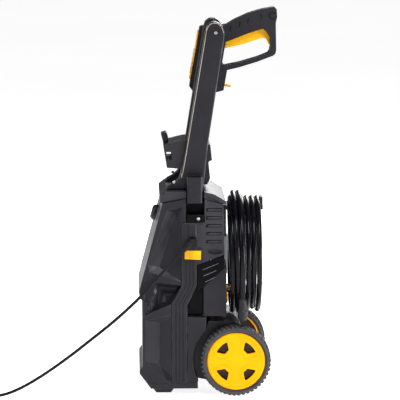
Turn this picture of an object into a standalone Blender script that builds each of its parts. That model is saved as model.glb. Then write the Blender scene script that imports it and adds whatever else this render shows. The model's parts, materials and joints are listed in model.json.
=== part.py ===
"""Upright electric pressure washer: moulded body on two wheels, handle tower, spray gun, hose and lead.

Metres, +Z up. The front is -X, the wheels are at +X, and the empty holster is on the -Y side.
The origin is on the floor, under the middle of the machine without its lead and hose.
"""

from math import atan2, ceil, cos, pi, radians, sin, tan

import bmesh
import bpy
from mathutils import Matrix, Vector

MM = 0.001

# Driving dimensions
BODY_WIDTH = 236 * MM          # across the upper side faces
BASE_STEP = 4 * MM             # lower covers and columns, beyond the body on each side
GAP = 0.3 * MM                 # between pieces that touch
WALL = 3 * MM                  # of the moulded covers
DECK_Z = 466 * MM              # top of the body, where the handle stands
HANDLE_HEIGHT = 379 * MM       # from the deck to the top of the rails
HANDLE_LEAN = radians(9)
RAIL_DEPTH = 46 * MM           # front to back
RAIL_WIDTH = 28 * MM
RAIL_INNER_Y = 56 * MM         # from the middle plane to each rail's inner face

WHEEL_DIAMETER = 160 * MM
TYRE_WIDTH = 38 * MM
TYRE_HEIGHT = 14 * MM          # rim to tread
AXLE_DIAMETER = 12 * MM
AXLE_X = 59 * MM
WHEEL_INSET = 20 * MM          # inner face of a wheel, inside the base's side
ARCH_CLEARANCE = 17 * MM       # tread to wheel arch
WHEEL_SIDE_CLEARANCE = 6 * MM

FOOT_HEIGHT = 14 * MM
TRAY_DEPTH = 13 * MM

COLUMN_DEPTH = 16 * MM         # into the side
SLEEVE_SIZE = (35 * MM, 39.5 * MM, 59 * MM)
SLEEVE_BORE = (30 * MM, 26 * MM)
SLEEVE_X = -34.5 * MM
SLEEVE_Z = 441 * MM
CUP_Z = 396.4 * MM
CUP_HEIGHT = 18 * MM

LANCE_DIAMETER = 12 * MM
NOZZLE_DIAMETER = 15 * MM
LANCE_LENGTH = 236 * MM
NOZZLE_LENGTH = 20 * MM
GUN_THICKNESS = 36 * MM
TRIGGER_THICKNESS = 13 * MM
LOCK_DIAMETER = 11 * MM

MOTOR_X = -38 * MM
MOTOR_RADIUS = 50 * MM
SHAFT_RADIUS = 6 * MM
SHELF_Z = 290 * MM
SHELF_THICKNESS = 6 * MM
PISTON_RADIUS = 5 * MM
PISTON_CIRCLE = 19 * MM
PISTON_STROKE = 6 * MM
SWASH_Z = 247.7 * MM           # middle of the plate's slanted face
SWASH_RADIUS = 27 * MM
RUNNING = 0.06 * MM            # radial clearance of a running fit

KNOB_DIAMETER = 38 * MM
KNOB_HEIGHT = 12 * MM
KNOB_Z = 401 * MM

HOSE_DIAMETER = 12 * MM
COIL_RADIUS = 143 * MM         # outer
COIL_LAYERS = 26 * MM          # radial depth of the hung turns
COIL_X = (44.5 * MM, 117.5 * MM)
COIL_Z = 310 * MM

LEAD_DIAMETER = 7 * MM
LEAD_COIL_RADIUS = 43 * MM     # middle of the turns
LEAD_COIL_SECTION = 30 * MM
LEAD_COIL_X = -590 * MM
LEAD_STANDOFF = 18 * MM        # from the base's side to the line that the lead runs along

# What follows from them
BASE_WIDTH = BODY_WIDTH + 2 * BASE_STEP
WHEEL_RADIUS = WHEEL_DIAMETER / 2
HUB_RADIUS = WHEEL_RADIUS - TYRE_HEIGHT
WHEEL_INNER_Y = BASE_WIDTH / 2 - WHEEL_INSET
WHEEL_Y = WHEEL_INNER_Y + TYRE_WIDTH / 2
ARCH_RADIUS = WHEEL_RADIUS + ARCH_CLEARANCE
CARRIER_HALF = WHEEL_INNER_Y - WHEEL_SIDE_CLEARANCE
RAIL_OUTER_Y = RAIL_INNER_Y + RAIL_WIDTH
SLEEVE_Y = RAIL_OUTER_Y + GAP + SLEEVE_SIZE[1] / 2
FRAME_OUTER_Y = min(BODY_WIDTH / 2 - COLUMN_DEPTH, SLEEVE_Y - NOZZLE_DIAMETER / 2) - 1 * MM
FOOT_TOP = FOOT_HEIGHT
TRAY_TOP = FOOT_TOP + TRAY_DEPTH
COVER_BOTTOM = TRAY_TOP + GAP
HANDLE_TOP = DECK_Z + HANDLE_HEIGHT
LEAD_SIDE_Y = -BASE_WIDTH / 2 - LEAD_STANDOFF
SWASH_TILT = atan2(PISTON_STROKE, 2 * PISTON_CIRCLE)


def start_scene():
    for old in list(bpy.data.objects):
        bpy.data.objects.remove(old)
    parts = bpy.data.collections.new("pressure_washer")
    cutters = bpy.data.collections.new("cutters")
    bpy.context.scene.collection.children.link(parts)
    bpy.context.scene.collection.children.link(cutters)
    return parts, cutters


PARTS, CUTTERS = start_scene()


def material(name, colour, roughness, metallic=0.0):
    mat = bpy.data.materials.new(name)
    mat.use_nodes = True
    shader = mat.node_tree.nodes["Principled BSDF"]
    shader.inputs["Base Color"].default_value = (*colour, 1.0)
    shader.inputs["Roughness"].default_value = roughness
    shader.inputs["Metallic"].default_value = metallic
    mat.diffuse_color = (*colour, 1.0)
    return mat


BLACK = material("black_plastic", (0.022, 0.022, 0.025), 0.45)
GREY = material("dark_grey_plastic", (0.05, 0.05, 0.055), 0.5)
GLOSS = material("gloss_black_plastic", (0.012, 0.012, 0.014), 0.3)
YELLOW = material("yellow_plastic", (0.95, 0.58, 0.01), 0.4)
RUBBER = material("black_rubber", (0.03, 0.03, 0.03), 0.8)
HOSE = material("hose_black", (0.012, 0.012, 0.014), 0.35)
STEEL = material("zinc_steel", (0.6, 0.6, 0.6), 0.35, 1.0)
BRASS = material("brass", (0.7, 0.42, 0.15), 0.3, 1.0)
ALLOY = material("cast_aluminium", (0.6, 0.6, 0.62), 0.5, 1.0)
WINDING = material("copper", (0.7, 0.32, 0.18), 0.4, 1.0)


# Modelling helpers

def mm(*points):
    """Points given in millimetres, as metres."""
    return [tuple(v * MM for v in p) for p in points]


def add(name, mesh, mat, cutter=False):
    obj = bpy.data.objects.new(name, mesh)
    (CUTTERS if cutter else PARTS).objects.link(obj)
    if cutter:
        obj.hide_render = True
        obj.display_type = "WIRE"
    else:
        mesh.materials.clear()
        mesh.materials.append(mat)
    return obj


def evaluated_mesh(obj):
    bpy.context.view_layer.update()
    graph = bpy.context.evaluated_depsgraph_get()
    return bpy.data.meshes.new_from_object(obj.evaluated_get(graph))


def bake(obj):
    """Apply an object's modifiers to its mesh."""
    mesh = evaluated_mesh(obj)
    obj.modifiers.clear()
    obj.data = mesh
    return obj


def curve_to_mesh(curve_obj, name, mat, cutter=False):
    mesh = evaluated_mesh(curve_obj)
    matrix = curve_obj.matrix_world.copy()
    bpy.data.objects.remove(curve_obj)
    bm = bmesh.new()
    bm.from_mesh(mesh)
    bmesh.ops.remove_doubles(bm, verts=bm.verts, dist=0.00001)
    bmesh.ops.recalc_face_normals(bm, faces=bm.faces)
    bm.to_mesh(mesh)
    bm.free()
    obj = add(name, mesh, mat, cutter)
    obj.matrix_world = matrix
    return obj


def flat(name, outline, thickness, matrix, mat=None, cutter=False):
    """A closed flat outline, extruded half its thickness each way about the matrix's XY plane."""
    data = bpy.data.curves.new(name + "_outline", "CURVE")
    data.dimensions = "2D"
    data.fill_mode = "BOTH"
    data.extrude = thickness / 2
    spline = data.splines.new("POLY")
    spline.points.add(len(outline) - 1)
    for point, (u, v) in zip(spline.points, outline):
        point.co = (u, v, 0, 1)
    spline.use_cyclic_u = True
    obj = bpy.data.objects.new(name + "_outline", data)
    PARTS.objects.link(obj)
    obj.matrix_world = matrix
    return curve_to_mesh(obj, name, mat, cutter)


def side_plane(y):
    """Outline X, Z laid in the plane at y, thickness along Y."""
    return Matrix.Translation((0, y, 0)) @ Matrix.Rotation(pi / 2, 4, "X")


def rear_plane(x):
    """Outline Y, Z laid in the plane at x, thickness along X."""
    return Matrix.Translation((x, 0, 0)) @ Matrix(((0, 0, 1, 0), (1, 0, 0, 0), (0, 1, 0, 0), (0, 0, 0, 1)))


def side_plate(name, outline, y_low, y_high, mat=None, cutter=False):
    return flat(name, outline, y_high - y_low, side_plane((y_low + y_high) / 2), mat, cutter)


def box(name, low, high, mat=None, cutter=False):
    bpy.ops.mesh.primitive_cube_add(size=1)
    obj = bpy.context.active_object
    mesh = obj.data
    bpy.data.objects.remove(obj)
    size = [b - a for a, b in zip(low, high)]
    middle = [(a + b) / 2 for a, b in zip(low, high)]
    mesh.transform(Matrix.Translation(middle) @ Matrix.Diagonal((*size, 1)))
    return add(name, mesh, mat, cutter)


def rod(name, radius, length, matrix, mat=None, cutter=False, sides=24):
    """A cylinder from the matrix's origin along its Z."""
    bm = bmesh.new()
    bmesh.ops.create_cone(bm, cap_ends=True, segments=sides, radius1=radius, radius2=radius, depth=length)
    bmesh.ops.translate(bm, verts=bm.verts, vec=(0, 0, length / 2))
    mesh = bpy.data.meshes.new(name)
    bm.to_mesh(mesh)
    bm.free()
    obj = add(name, mesh, mat, cutter)
    obj.matrix_world = matrix
    return obj


def turned(name, profile, matrix, mat, steps=24):
    """A profile of (radius, height) points, listed down the outer side, turned about the matrix's Z."""
    mesh = bpy.data.meshes.new(name)
    last = len(profile) - 1
    closed = profile[0][0] > 0 and profile[last][0] > 0
    edges = [(i, i + 1) for i in range(last)] + ([(last, 0)] if closed else [])
    mesh.from_pydata([(r, 0, z) for r, z in profile], edges, [])
    obj = add(name, mesh, mat)
    obj.matrix_world = matrix
    screw = obj.modifiers.new("turn", "SCREW")
    screw.steps = steps
    screw.render_steps = steps
    screw.use_merge_vertices = True
    screw.merge_threshold = 0.00001
    return obj


def tube(name, points, radius, mat, resolution=2):
    data = bpy.data.curves.new(name + "_line", "CURVE")
    data.dimensions = "3D"
    data.bevel_depth = radius
    data.bevel_resolution = resolution
    data.use_fill_caps = True
    spline = data.splines.new("POLY")
    spline.points.add(len(points) - 1)
    for point, co in zip(spline.points, points):
        point.co = (*co, 1)
    obj = bpy.data.objects.new(name + "_line", data)
    PARTS.objects.link(obj)
    return curve_to_mesh(obj, name, mat)


def boolean(obj, other, operation="DIFFERENCE"):
    modifier = obj.modifiers.new(operation.lower() + "_" + other.name, "BOOLEAN")
    modifier.operation = operation
    modifier.object = other
    modifier.solver = "EXACT"
    return obj


def cut(obj, cutter):
    return boolean(obj, cutter)


def join(obj, other):
    """Union the other object into obj and remove it."""
    boolean(obj, other, "UNION")
    bake(obj)
    bpy.data.objects.remove(other)
    return obj


def wedge(rim, ridge, side, half_width, depth):
    """A side recess with a rim on the side face and a ridge at its depth. Grown by a wall's thickness,
    it is the shape that the inside of the cover keeps round it."""
    def make(grow):
        bm = bmesh.new()
        deeper = 1.2 * grow
        for x, z in rim:
            bm.verts.new((x, side * (half_width + GAP), z))
            bm.verts.new((x, side * (half_width - deeper), z))
        for x, z in ridge:
            bm.verts.new((x, side * (half_width - depth - deeper), z))
        made = bmesh.ops.convex_hull(bm, input=bm.verts)
        bmesh.ops.delete(bm, geom=made["geom_interior"], context="VERTS")
        bmesh.ops.recalc_face_normals(bm, faces=bm.faces)
        mesh = bpy.data.meshes.new("recess")
        bm.to_mesh(mesh)
        bm.free()
        return add("recess", mesh, None, cutter=True)
    return make


def notch(low, high):
    def make(grow):
        return box("notch", [v - grow for v in low], [v + grow for v in high], cutter=True)
    return make


def widened(outline, kept_sides, margin, kept_margin):
    """The outline with every side moved outwards by the margin, and the kept sides by their own."""
    count = len(outline)
    corners = [Vector(p) for p in outline]
    area = sum(a.x * b.y - b.x * a.y for a, b in zip(corners, corners[1:] + corners[:1]))
    lines = []
    for i in range(count):
        along = (corners[(i + 1) % count] - corners[i]).normalized()
        outwards = Vector((along.y, -along.x)) * (1 if area > 0 else -1)
        lines.append((corners[i] + outwards * (kept_margin if i in kept_sides else margin), along))
    points = []
    for (p, d), (q, e) in zip([lines[-1]] + lines, lines):
        cross = d.x * e.y - d.y * e.x
        if abs(cross) < 0.01:
            points.append(tuple(q))
        else:
            t = ((q - p).x * e.y - (q - p).y * e.x) / cross
            points.append(tuple(p + d * t))
    return points


def shell(name, outline, half_width, mat, open_sides=(), recesses=(), wall=WALL):
    """A moulded cover: the outline across the full width with its recesses cut, hollowed to the wall's
    thickness and open along its open sides."""
    cover = side_plate(name, outline, -half_width, half_width, mat)
    inside = widened(outline, open_sides, -wall, 2 * wall)
    core = side_plate(name + "_core", inside, wall - half_width, half_width - wall, cutter=True)
    for recess in recesses:
        cut(cover, recess(0))
        cut(core, recess(wall))
    bake(core)
    return bake(cut(cover, core))


def smooth(obj):
    obj.data.shade_smooth()
    obj.data.set_sharp_from_angle(angle=radians(35))
    return obj


def empty(name, location, rotation=(0, 0, 0)):
    obj = bpy.data.objects.new(name, None)
    PARTS.objects.link(obj)
    obj.location = location
    obj.rotation_euler = rotation
    obj.empty_display_size = 0.02
    return obj


def carry(parent, *pieces):
    """Parent pieces without moving them."""
    bpy.context.view_layer.update()
    for piece in pieces:
        piece.parent = parent
        piece.matrix_parent_inverse = parent.matrix_world.inverted()


def arc(cx, cz, radius, start, end, count):
    """Points of an arc, angles in degrees from +X towards +Z."""
    angles = [radians(start + (end - start) * i / (count - 1)) for i in range(count)]
    return [(cx + radius * cos(a), cz + radius * sin(a)) for a in angles]


def smooth_route(points, spacing):
    """Points along a smooth curve through the given ones, at an even spacing."""
    vectors = [Vector(p) for p in points]
    ends = [2 * vectors[0] - vectors[1], *vectors, 2 * vectors[-1] - vectors[-2]]
    fine = []
    steps = 24
    for p0, p1, p2, p3 in zip(ends, ends[1:], ends[2:], ends[3:]):
        for i in range(steps):
            t = i / steps
            fine.append(0.5 * ((2 * p1) + (p2 - p0) * t + (2 * p0 - 5 * p1 + 4 * p2 - p3) * t * t
                               + (3 * p1 - p0 - 3 * p2 + p3) * t ** 3))
    fine.append(vectors[-1])
    lengths = [0.0]
    for a, b in zip(fine, fine[1:]):
        lengths.append(lengths[-1] + (b - a).length)
    count = max(2, ceil(lengths[-1] / spacing))
    route = []
    index = 0
    for i in range(count + 1):
        want = lengths[-1] * i / count
        while index < len(fine) - 2 and lengths[index + 1] < want:
            index += 1
        span = lengths[index + 1] - lengths[index]
        route.append(fine[index].lerp(fine[index + 1], (want - lengths[index]) / span))
    return route


# Body covers. Their seams are shared lines, so that neighbours meet.

COLUMN_FRONT_X = -87 * MM
COLUMN_BACK_X = -51 * MM
COLUMN_TOP_FRONT_X = -64 * MM
COLUMN_TOP_BACK_X = -30 * MM
WAIST_BACK_Z = 211 * MM
CHEST_Z = 252 * MM             # where the column stands upright again
FRONT_BOTTOM = (-154 * MM, 263 * MM)
FRONT_TOP = (-107 * MM, 440 * MM)
POCKET_FRONT_X = -54 * MM      # holster pocket in the upper sides
POCKET_BACK_X = -12 * MM
POCKET_Z = CUP_Z - GAP
SEAM_PEAK_Z = 450 * MM
REAR_X = 33 * MM
PANEL_X = 38 * MM
LOWER_TOP_Z = 180 * MM


def column_outline():
    return [(COLUMN_FRONT_X, COVER_BOTTOM), (COLUMN_BACK_X, COVER_BOTTOM),
            (COLUMN_BACK_X, WAIST_BACK_Z - 4 * MM), (COLUMN_TOP_BACK_X, CHEST_Z),
            (COLUMN_TOP_BACK_X, CUP_Z - GAP), (COLUMN_TOP_FRONT_X, CUP_Z - GAP),
            (COLUMN_TOP_FRONT_X, CHEST_Z), (COLUMN_FRONT_X, WAIST_BACK_Z)]


def build_base_tray():
    low = FOOT_TOP + GAP
    outline = [(-134 * MM, low), (-27 * MM, low), (-27 * MM, TRAY_TOP), (-143 * MM, TRAY_TOP)]
    tray = side_plate("base_tray", outline, -BASE_WIDTH / 2, BASE_WIDTH / 2, BLACK)
    pan = box("tray_pan", (-128 * MM, -BASE_WIDTH / 2 + 6 * MM, low + 4 * MM),
              (-33 * MM, BASE_WIDTH / 2 - 6 * MM, TRAY_TOP + 5 * MM), cutter=True)
    return cut(tray, pan)


def build_feet():
    for side, label in ((-1, "left"), (1, "right")):
        outline = [(-132 * MM, FOOT_TOP), (-122 * MM, 0), (-88 * MM, 0), (-78 * MM, FOOT_TOP)]
        y = side * (BASE_WIDTH / 2 - 38 * MM)
        side_plate("foot_" + label, outline, y - 14 * MM, y + 14 * MM, RUBBER)


def build_lower_front_cover():
    right = COLUMN_FRONT_X - GAP
    outline = [(-143 * MM, COVER_BOTTOM), (right, COVER_BOTTOM), (right, WAIST_BACK_Z),
               (-147 * MM, 185 * MM), (-153 * MM, 180 * MM), (-153 * MM, 66 * MM), (-160 * MM, 57 * MM),
               (-160 * MM, 50 * MM)]
    half = BASE_WIDTH / 2
    recesses = [wedge(mm((-145, 173), (-80, 186), (-80, 34), (-97, 30), (-146, 78)),
                      mm((-113, 164), (-116, 71)), side, half, 12 * MM) for side in (-1, 1)]
    return shell("lower_front_cover", outline, half, BLACK, open_sides=(0, 1), recesses=recesses)


def build_lower_rear_housing():
    left = COLUMN_BACK_X + GAP
    arch = arc(AXLE_X, WHEEL_RADIUS, ARCH_RADIUS, 209, 135, 8)
    outline = [(left, LOWER_TOP_Z), (left, COVER_BOTTOM), (arch[0][0] - 2 * MM, COVER_BOTTOM), *arch,
               (-8 * MM, LOWER_TOP_Z - 2 * MM)]
    return shell("lower_rear_housing", outline, BASE_WIDTH / 2 - 1 * MM, BLACK, open_sides=(0, 1))


def build_axle_carrier():
    arch = arc(AXLE_X, WHEEL_RADIUS, ARCH_RADIUS - GAP, 135, 209, 8)
    outline = [*arch, (5 * MM, 27 * MM), (52 * MM, 27 * MM), (70 * MM, 50 * MM), (76 * MM, 80 * MM),
               (76 * MM, 136 * MM), (70 * MM, 154 * MM), (56 * MM, 164 * MM), (36 * MM, 166 * MM),
               (-2 * MM, 166 * MM)]
    arch_sides = range(len(arch) - 1)
    carrier = shell("axle_carrier", outline, CARRIER_HALF, BLACK, open_sides=arch_sides, wall=4 * MM)
    hole = rod("axle_hole", AXLE_DIAMETER / 2 + GAP, BASE_WIDTH, axle_matrix(-BASE_WIDTH / 2), cutter=True)
    return cut(carrier, hole)


def build_middle_cover():
    start = Vector((COLUMN_FRONT_X, WAIST_BACK_Z))
    end = Vector((COLUMN_TOP_FRONT_X, CHEST_Z))
    along = (end - start).normalized()
    shift = Vector((-along.y, along.x)) * GAP
    low_back = start + along * 2 * GAP + shift
    high_back = end - along * 4 * GAP + shift
    top_front = (FRONT_BOTTOM[0], FRONT_BOTTOM[1] - 2 * GAP)
    outline = [tuple(low_back), tuple(high_back), top_front, *mm((-161, 236), (-158, 221), (-143, 213),
               (-142, 197), (-147, 186)), ]
    half = BODY_WIDTH / 2 - 3 * MM
    hollows = [wedge(mm((-121, 259), (-62, 251), (-87, 208), (-130, 190), (-134, 212)),
                     mm((-113, 246), (-74, 243), (-93, 214), (-118, 206)), side, half, 15 * MM)
               for side in (-1, 1)]
    return shell("middle_cover", outline, half, GREY, open_sides=(0, 1, 7), recesses=hollows)


def build_upper_front_cover():
    right = COLUMN_TOP_FRONT_X - GAP
    outline = [FRONT_BOTTOM, (right, CHEST_Z), (right, POCKET_Z), (POCKET_FRONT_X, POCKET_Z),
               (POCKET_FRONT_X, SEAM_PEAK_Z), FRONT_TOP]
    half = BODY_WIDTH / 2
    recesses = [wedge(mm((-96, 424), (-59, 433), (-59, 258), (-138, 284), (-140, 300)),
                      mm((-78, 415), (-114, 292)), side, half, 14 * MM) for side in (-1, 1)]
    cover = shell("upper_front_cover", outline, half, BLACK, open_sides=(0, 1, 2, 3, 4), recesses=recesses)
    hole = rod("knob_hole", 6 * MM, 60 * MM, knob_matrix(-30 * MM), cutter=True)
    return cut(cover, hole)


LOUVRE_COUNT = 5
LOUVRE_TOP_Z = 425 * MM
LOUVRE_PITCH = 18.2 * MM
LOUVRE_HEIGHT = 8 * MM
VENT_LINE = mm((-30, 298), (33, 322))


def build_upper_rear_cover():
    left = COLUMN_TOP_BACK_X + GAP
    outline = [(left, VENT_LINE[0][1] + GAP), (REAR_X, VENT_LINE[1][1] + GAP), (REAR_X - 1 * MM, 400 * MM),
               (REAR_X - 3 * MM, 437 * MM), (POCKET_BACK_X, SEAM_PEAK_Z - 1.5 * MM), (POCKET_BACK_X, POCKET_Z),
               (left, POCKET_Z)]
    half = BODY_WIDTH / 2 - 2 * MM
    cover = shell("upper_rear_cover", outline, half, GREY, open_sides=(0, 3, 4, 5, 6))
    slots = None
    for row in range(LOUVRE_COUNT):
        z = LOUVRE_TOP_Z - row * LOUVRE_PITCH
        slot = box("louvre_slots", (-9 * MM, -BODY_WIDTH, z - LOUVRE_HEIGHT / 2),
                   (27 * MM, BODY_WIDTH, z + LOUVRE_HEIGHT / 2), cutter=True)
        slots = slot if slots is None else join(slots, slot)
    return cut(cover, slots)


def build_vent_band():
    left = COLUMN_TOP_BACK_X + GAP
    outline = [(left, VENT_LINE[0][1] - GAP), (left, 239 * MM), (-14 * MM, 248 * MM), (34 * MM, 292 * MM),
               (REAR_X, VENT_LINE[1][1] - GAP)]
    return shell("vent_band", outline, BODY_WIDTH / 2 - 1 * MM, GLOSS, open_sides=(0, 1, 2, 4))


def build_pump_cover():
    """Rear cover over the pump, under the vent band, with holes for the inlet and the outlet."""
    outline = [(-14 * MM, LOWER_TOP_Z + GAP), (PANEL_X, LOWER_TOP_Z + GAP), (PANEL_X, 294.8 * MM),
               (-14 * MM, 247.3 * MM)]
    cover = shell("pump_cover", outline, BODY_WIDTH / 2 - 6 * MM, BLACK, open_sides=(0, 2, 3))
    ports = [(INLET_Y, INLET_Z, INLET_RADIUS), (OUTLET_Y, OUTLET_Z, OUTLET_RADIUS)]
    for y, z, radius in ports:
        hole = rod("port_hole", radius + GAP, 40 * MM, port_matrix(PANEL_X - 20 * MM, y, z), cutter=True)
        cut(cover, hole)
    for start in (-BODY_WIDTH, CARRIER_HALF):
        arch = rod("cover_arch", ARCH_RADIUS, BODY_WIDTH - CARRIER_HALF, axle_matrix(start), cutter=True)
        cut(cover, arch)
    return cover


def build_top_cover():
    overhang = -113 * MM
    outline = [(overhang, 441 * MM), (FRONT_TOP[0] + 1 * MM, 441 * MM), (POCKET_FRONT_X, SEAM_PEAK_Z + GAP * 2),
               (POCKET_BACK_X, SEAM_PEAK_Z - 0.8 * MM), (36 * MM, 436.5 * MM), (36 * MM, 444 * MM),
               (12 * MM, DECK_Z - 7 * MM), (-13 * MM, DECK_Z), (-98 * MM, DECK_Z), (overhang, DECK_Z - 12 * MM)]
    half = BODY_WIDTH / 2 - 5 * MM
    notch_y = RAIL_OUTER_Y + GAP / 2
    notches = [notch((POCKET_FRONT_X + 1 * MM, min(side * notch_y, side * BODY_WIDTH), SLEEVE_Z - 20 * MM),
                     (POCKET_BACK_X - 1 * MM, max(side * notch_y, side * BODY_WIDTH), SLEEVE_Z + 80 * MM))
               for side in (-1, 1)]
    return shell("top_cover", outline, half, GREY, open_sides=(0, 1, 2, 3), recesses=notches)


def build_side_columns():
    outer = BASE_WIDTH / 2
    for side, label in ((-1, "left"), (1, "right")):
        low, high = sorted((side * (outer - COLUMN_DEPTH), side * outer))
        column = side_plate("side_column_" + label, column_outline(), low, high, BLACK)
        bake(column)


def build_inner_frame():
    """Two side plates and the shelf that the motor and the pump bolt to."""
    outer = FRAME_OUTER_Y
    inner = outer - 4 * MM
    low = LOWER_TOP_Z + GAP
    high = SLEEVE_Z - GAP
    shelf_top = SHELF_Z + SHELF_THICKNESS
    outline = [(-outer, low), (-inner, low), (-inner, SHELF_Z), (inner, SHELF_Z), (inner, low), (outer, low),
               (outer, high), (inner, high), (inner, shelf_top), (-inner, shelf_top), (-inner, high),
               (-outer, high)]
    front, back = POCKET_FRONT_X - 6 * MM, POCKET_BACK_X + 4 * MM
    frame = flat("inner_frame", outline, back - front, rear_plane((front + back) / 2), ALLOY)
    hole = rod("shelf_hole", 14 * MM, 40 * MM, up_matrix(MOTOR_X, 0, SHELF_Z - 20 * MM), cutter=True)
    return cut(frame, hole)


def build_holsters():
    sx, sy, sz = SLEEVE_SIZE
    bx, by = SLEEVE_BORE
    for side, label in ((-1, "left"), (1, "right")):
        y = side * SLEEVE_Y
        sleeve = box("holster_sleeve_" + label, (SLEEVE_X - sx / 2, y - sy / 2, SLEEVE_Z),
                     (SLEEVE_X + sx / 2, y + sy / 2, SLEEVE_Z + sz), BLACK)
        round_upright_edges(sleeve, 6 * MM)
        bore = box("holster_bore", (SLEEVE_X - bx / 2, y - by / 2, SLEEVE_Z - 10 * MM),
                   (SLEEVE_X + bx / 2, y + by / 2, SLEEVE_Z + sz + 10 * MM), cutter=True)
        round_upright_edges(bore, 4 * MM)
        cut(sleeve, bore)
        inner, outer = FRAME_OUTER_Y + GAP, BASE_WIDTH / 2
        low, high = sorted((side * inner, side * outer))
        cup = box("holster_cup_" + label, (POCKET_FRONT_X + 2 * MM, low, CUP_Z),
                  (POCKET_BACK_X - 2 * MM, high, CUP_Z + CUP_HEIGHT), BLACK)
        drain = rod("cup_drain", 3 * MM, 40 * MM, up_matrix(SLEEVE_X + 8 * MM, side * (inner + outer) / 2,
                                                           CUP_Z - 10 * MM), cutter=True, sides=12)
        cut(cup, drain)


def round_upright_edges(obj, radius, segments=2):
    bm = bmesh.new()
    bm.from_mesh(obj.data)
    upright = [e for e in bm.edges if abs((e.verts[0].co - e.verts[1].co).normalized().z) > 0.99]
    bmesh.ops.bevel(bm, geom=upright, offset=radius, affect="EDGES", segments=segments, profile=0.5,
                    material=-1)
    bm.to_mesh(obj.data)
    bm.free()


# Handle tower

def rail_x(z):
    """Front edge of the leaning rails."""
    return -50 * MM + (z - 577 * MM) * tan(HANDLE_LEAN) * 1.02


def rail_outline():
    low = DECK_Z + GAP
    straight_low = DECK_Z + 44 * MM
    top = HANDLE_TOP
    front_top = rail_x(top - 24 * MM)
    return [(-100 * MM, low), (-93 * MM, DECK_Z + 8 * MM), (-81 * MM, DECK_Z + 14 * MM),
            (-69 * MM, DECK_Z + 26 * MM), (rail_x(straight_low) - 3 * MM, straight_low),
            (rail_x(straight_low + 60 * MM), straight_low + 60 * MM), (front_top, top - 24 * MM),
            (front_top + 5 * MM, top - 8 * MM), (front_top + 15 * MM, top), (front_top + 30 * MM, top),
            (front_top + 40 * MM, top - 9 * MM), (front_top + RAIL_DEPTH - 1 * MM, top - 22 * MM),
            (rail_x(top - 48 * MM) + RAIL_DEPTH, top - 48 * MM),
            (rail_x(straight_low + 60 * MM) + RAIL_DEPTH + 2 * MM, straight_low + 60 * MM),
            (-12 * MM, DECK_Z + 20 * MM), (-15 * MM, low)]


def build_handle():
    for side, label in ((-1, "left"), (1, "right")):
        low, high = sorted((side * RAIL_INNER_Y, side * RAIL_OUTER_Y))
        side_plate("handle_rail_" + label, rail_outline(), low, high, BLACK)
    centre_z = HANDLE_TOP - 22 * MM
    centre_x = rail_x(centre_z) + RAIL_DEPTH / 2
    half = RAIL_INNER_Y - GAP
    grip = rod("handle_grip", 17 * MM, 2 * half, along_y_matrix(centre_x, -half, centre_z), GREY)
    smooth(grip)


HOOK_SLOPE = radians(15.5)
FINGER_FOOT = Vector((-96.5 * MM, 0, 566.4 * MM))


def build_cord_hook():
    outline = mm((-104, 564), (-87, 568.7), (-60, 575.5), (-40, 577), (-50, 512), (-64, 510), (-96, 513))
    hook = side_plate("cord_hook", outline, -RAIL_INNER_Y + GAP, RAIL_INNER_Y - GAP, GREY)
    window = box("hook_window", (-97 * MM, -BODY_WIDTH, 531 * MM), (-85 * MM, BODY_WIDTH, 549 * MM),
                 cutter=True)
    hollow = box("hook_hollow", (-80 * MM, -RAIL_INNER_Y + 8 * MM, 0.5),
                 (-44 * MM, RAIL_INNER_Y - 8 * MM, 566 * MM), cutter=True)
    socket = rod("finger_socket", 5 * MM + 2 * RUNNING, 40 * MM, finger_matrix(-18 * MM), cutter=True)
    cut(hook, window)
    cut(hook, hollow)
    cut(hook, socket)


def finger_matrix(offset):
    """Frame on the finger's swivel axis, which leans forwards."""
    return (Matrix.Translation(FINGER_FOOT) @ Matrix.Rotation(-HOOK_SLOPE, 4, "Y")
            @ Matrix.Translation((0, 0, offset)))


def build_finger():
    pivot = empty("finger_pivot", FINGER_FOOT, (0, -HOOK_SLOPE, 0))
    finger = box("cord_hook_finger", (-7 * MM, -22 * MM, 0.8 * MM), (7 * MM, 22 * MM, 23 * MM), BLACK)
    finger.matrix_world = finger_matrix(0)
    stem = rod("finger_stem", 5 * MM, 17 * MM, finger_matrix(-14 * MM), BLACK)
    bevel = finger.modifiers.new("rounding", "BEVEL")
    bevel.width = 3 * MM
    bevel.segments = 2
    bake(finger)
    join(finger, stem)
    carry(pivot, finger)


def build_nozzle_rack():
    outline = mm((-24, 566), (3, 566), (7, 530), (-1, 526), (3, 488), (-4, 474), (-24, 474), (-30, 500))
    rack = side_plate("nozzle_rack", outline, -RAIL_INNER_Y + GAP, RAIL_INNER_Y - GAP, BLACK)
    for y in (-26 * MM, 26 * MM):
        pocket = rod("rack_pocket", 8 * MM, 60 * MM, up_matrix(-11 * MM, y, 532 * MM), cutter=True, sides=16)
        cut(rack, pocket)


# Wheels

def axle_matrix(y):
    return along_y_matrix(AXLE_X, y, WHEEL_RADIUS)


def along_y_matrix(x, y, z):
    """Local Z along +Y."""
    return Matrix.Translation((x, y, z)) @ Matrix.Rotation(-pi / 2, 4, "X")


def up_matrix(x, y, z):
    return Matrix.Translation((x, y, z))


def port_matrix(x, y, z):
    """Local Z along +X."""
    return Matrix.Translation((x, y, z)) @ Matrix.Rotation(pi / 2, 4, "Y")


def wheel_matrix(side):
    """Local Z outwards along the axle."""
    turn = -side * pi / 2
    return Matrix.Translation((AXLE_X, side * WHEEL_Y, WHEEL_RADIUS)) @ Matrix.Rotation(turn, 4, "X")


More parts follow.
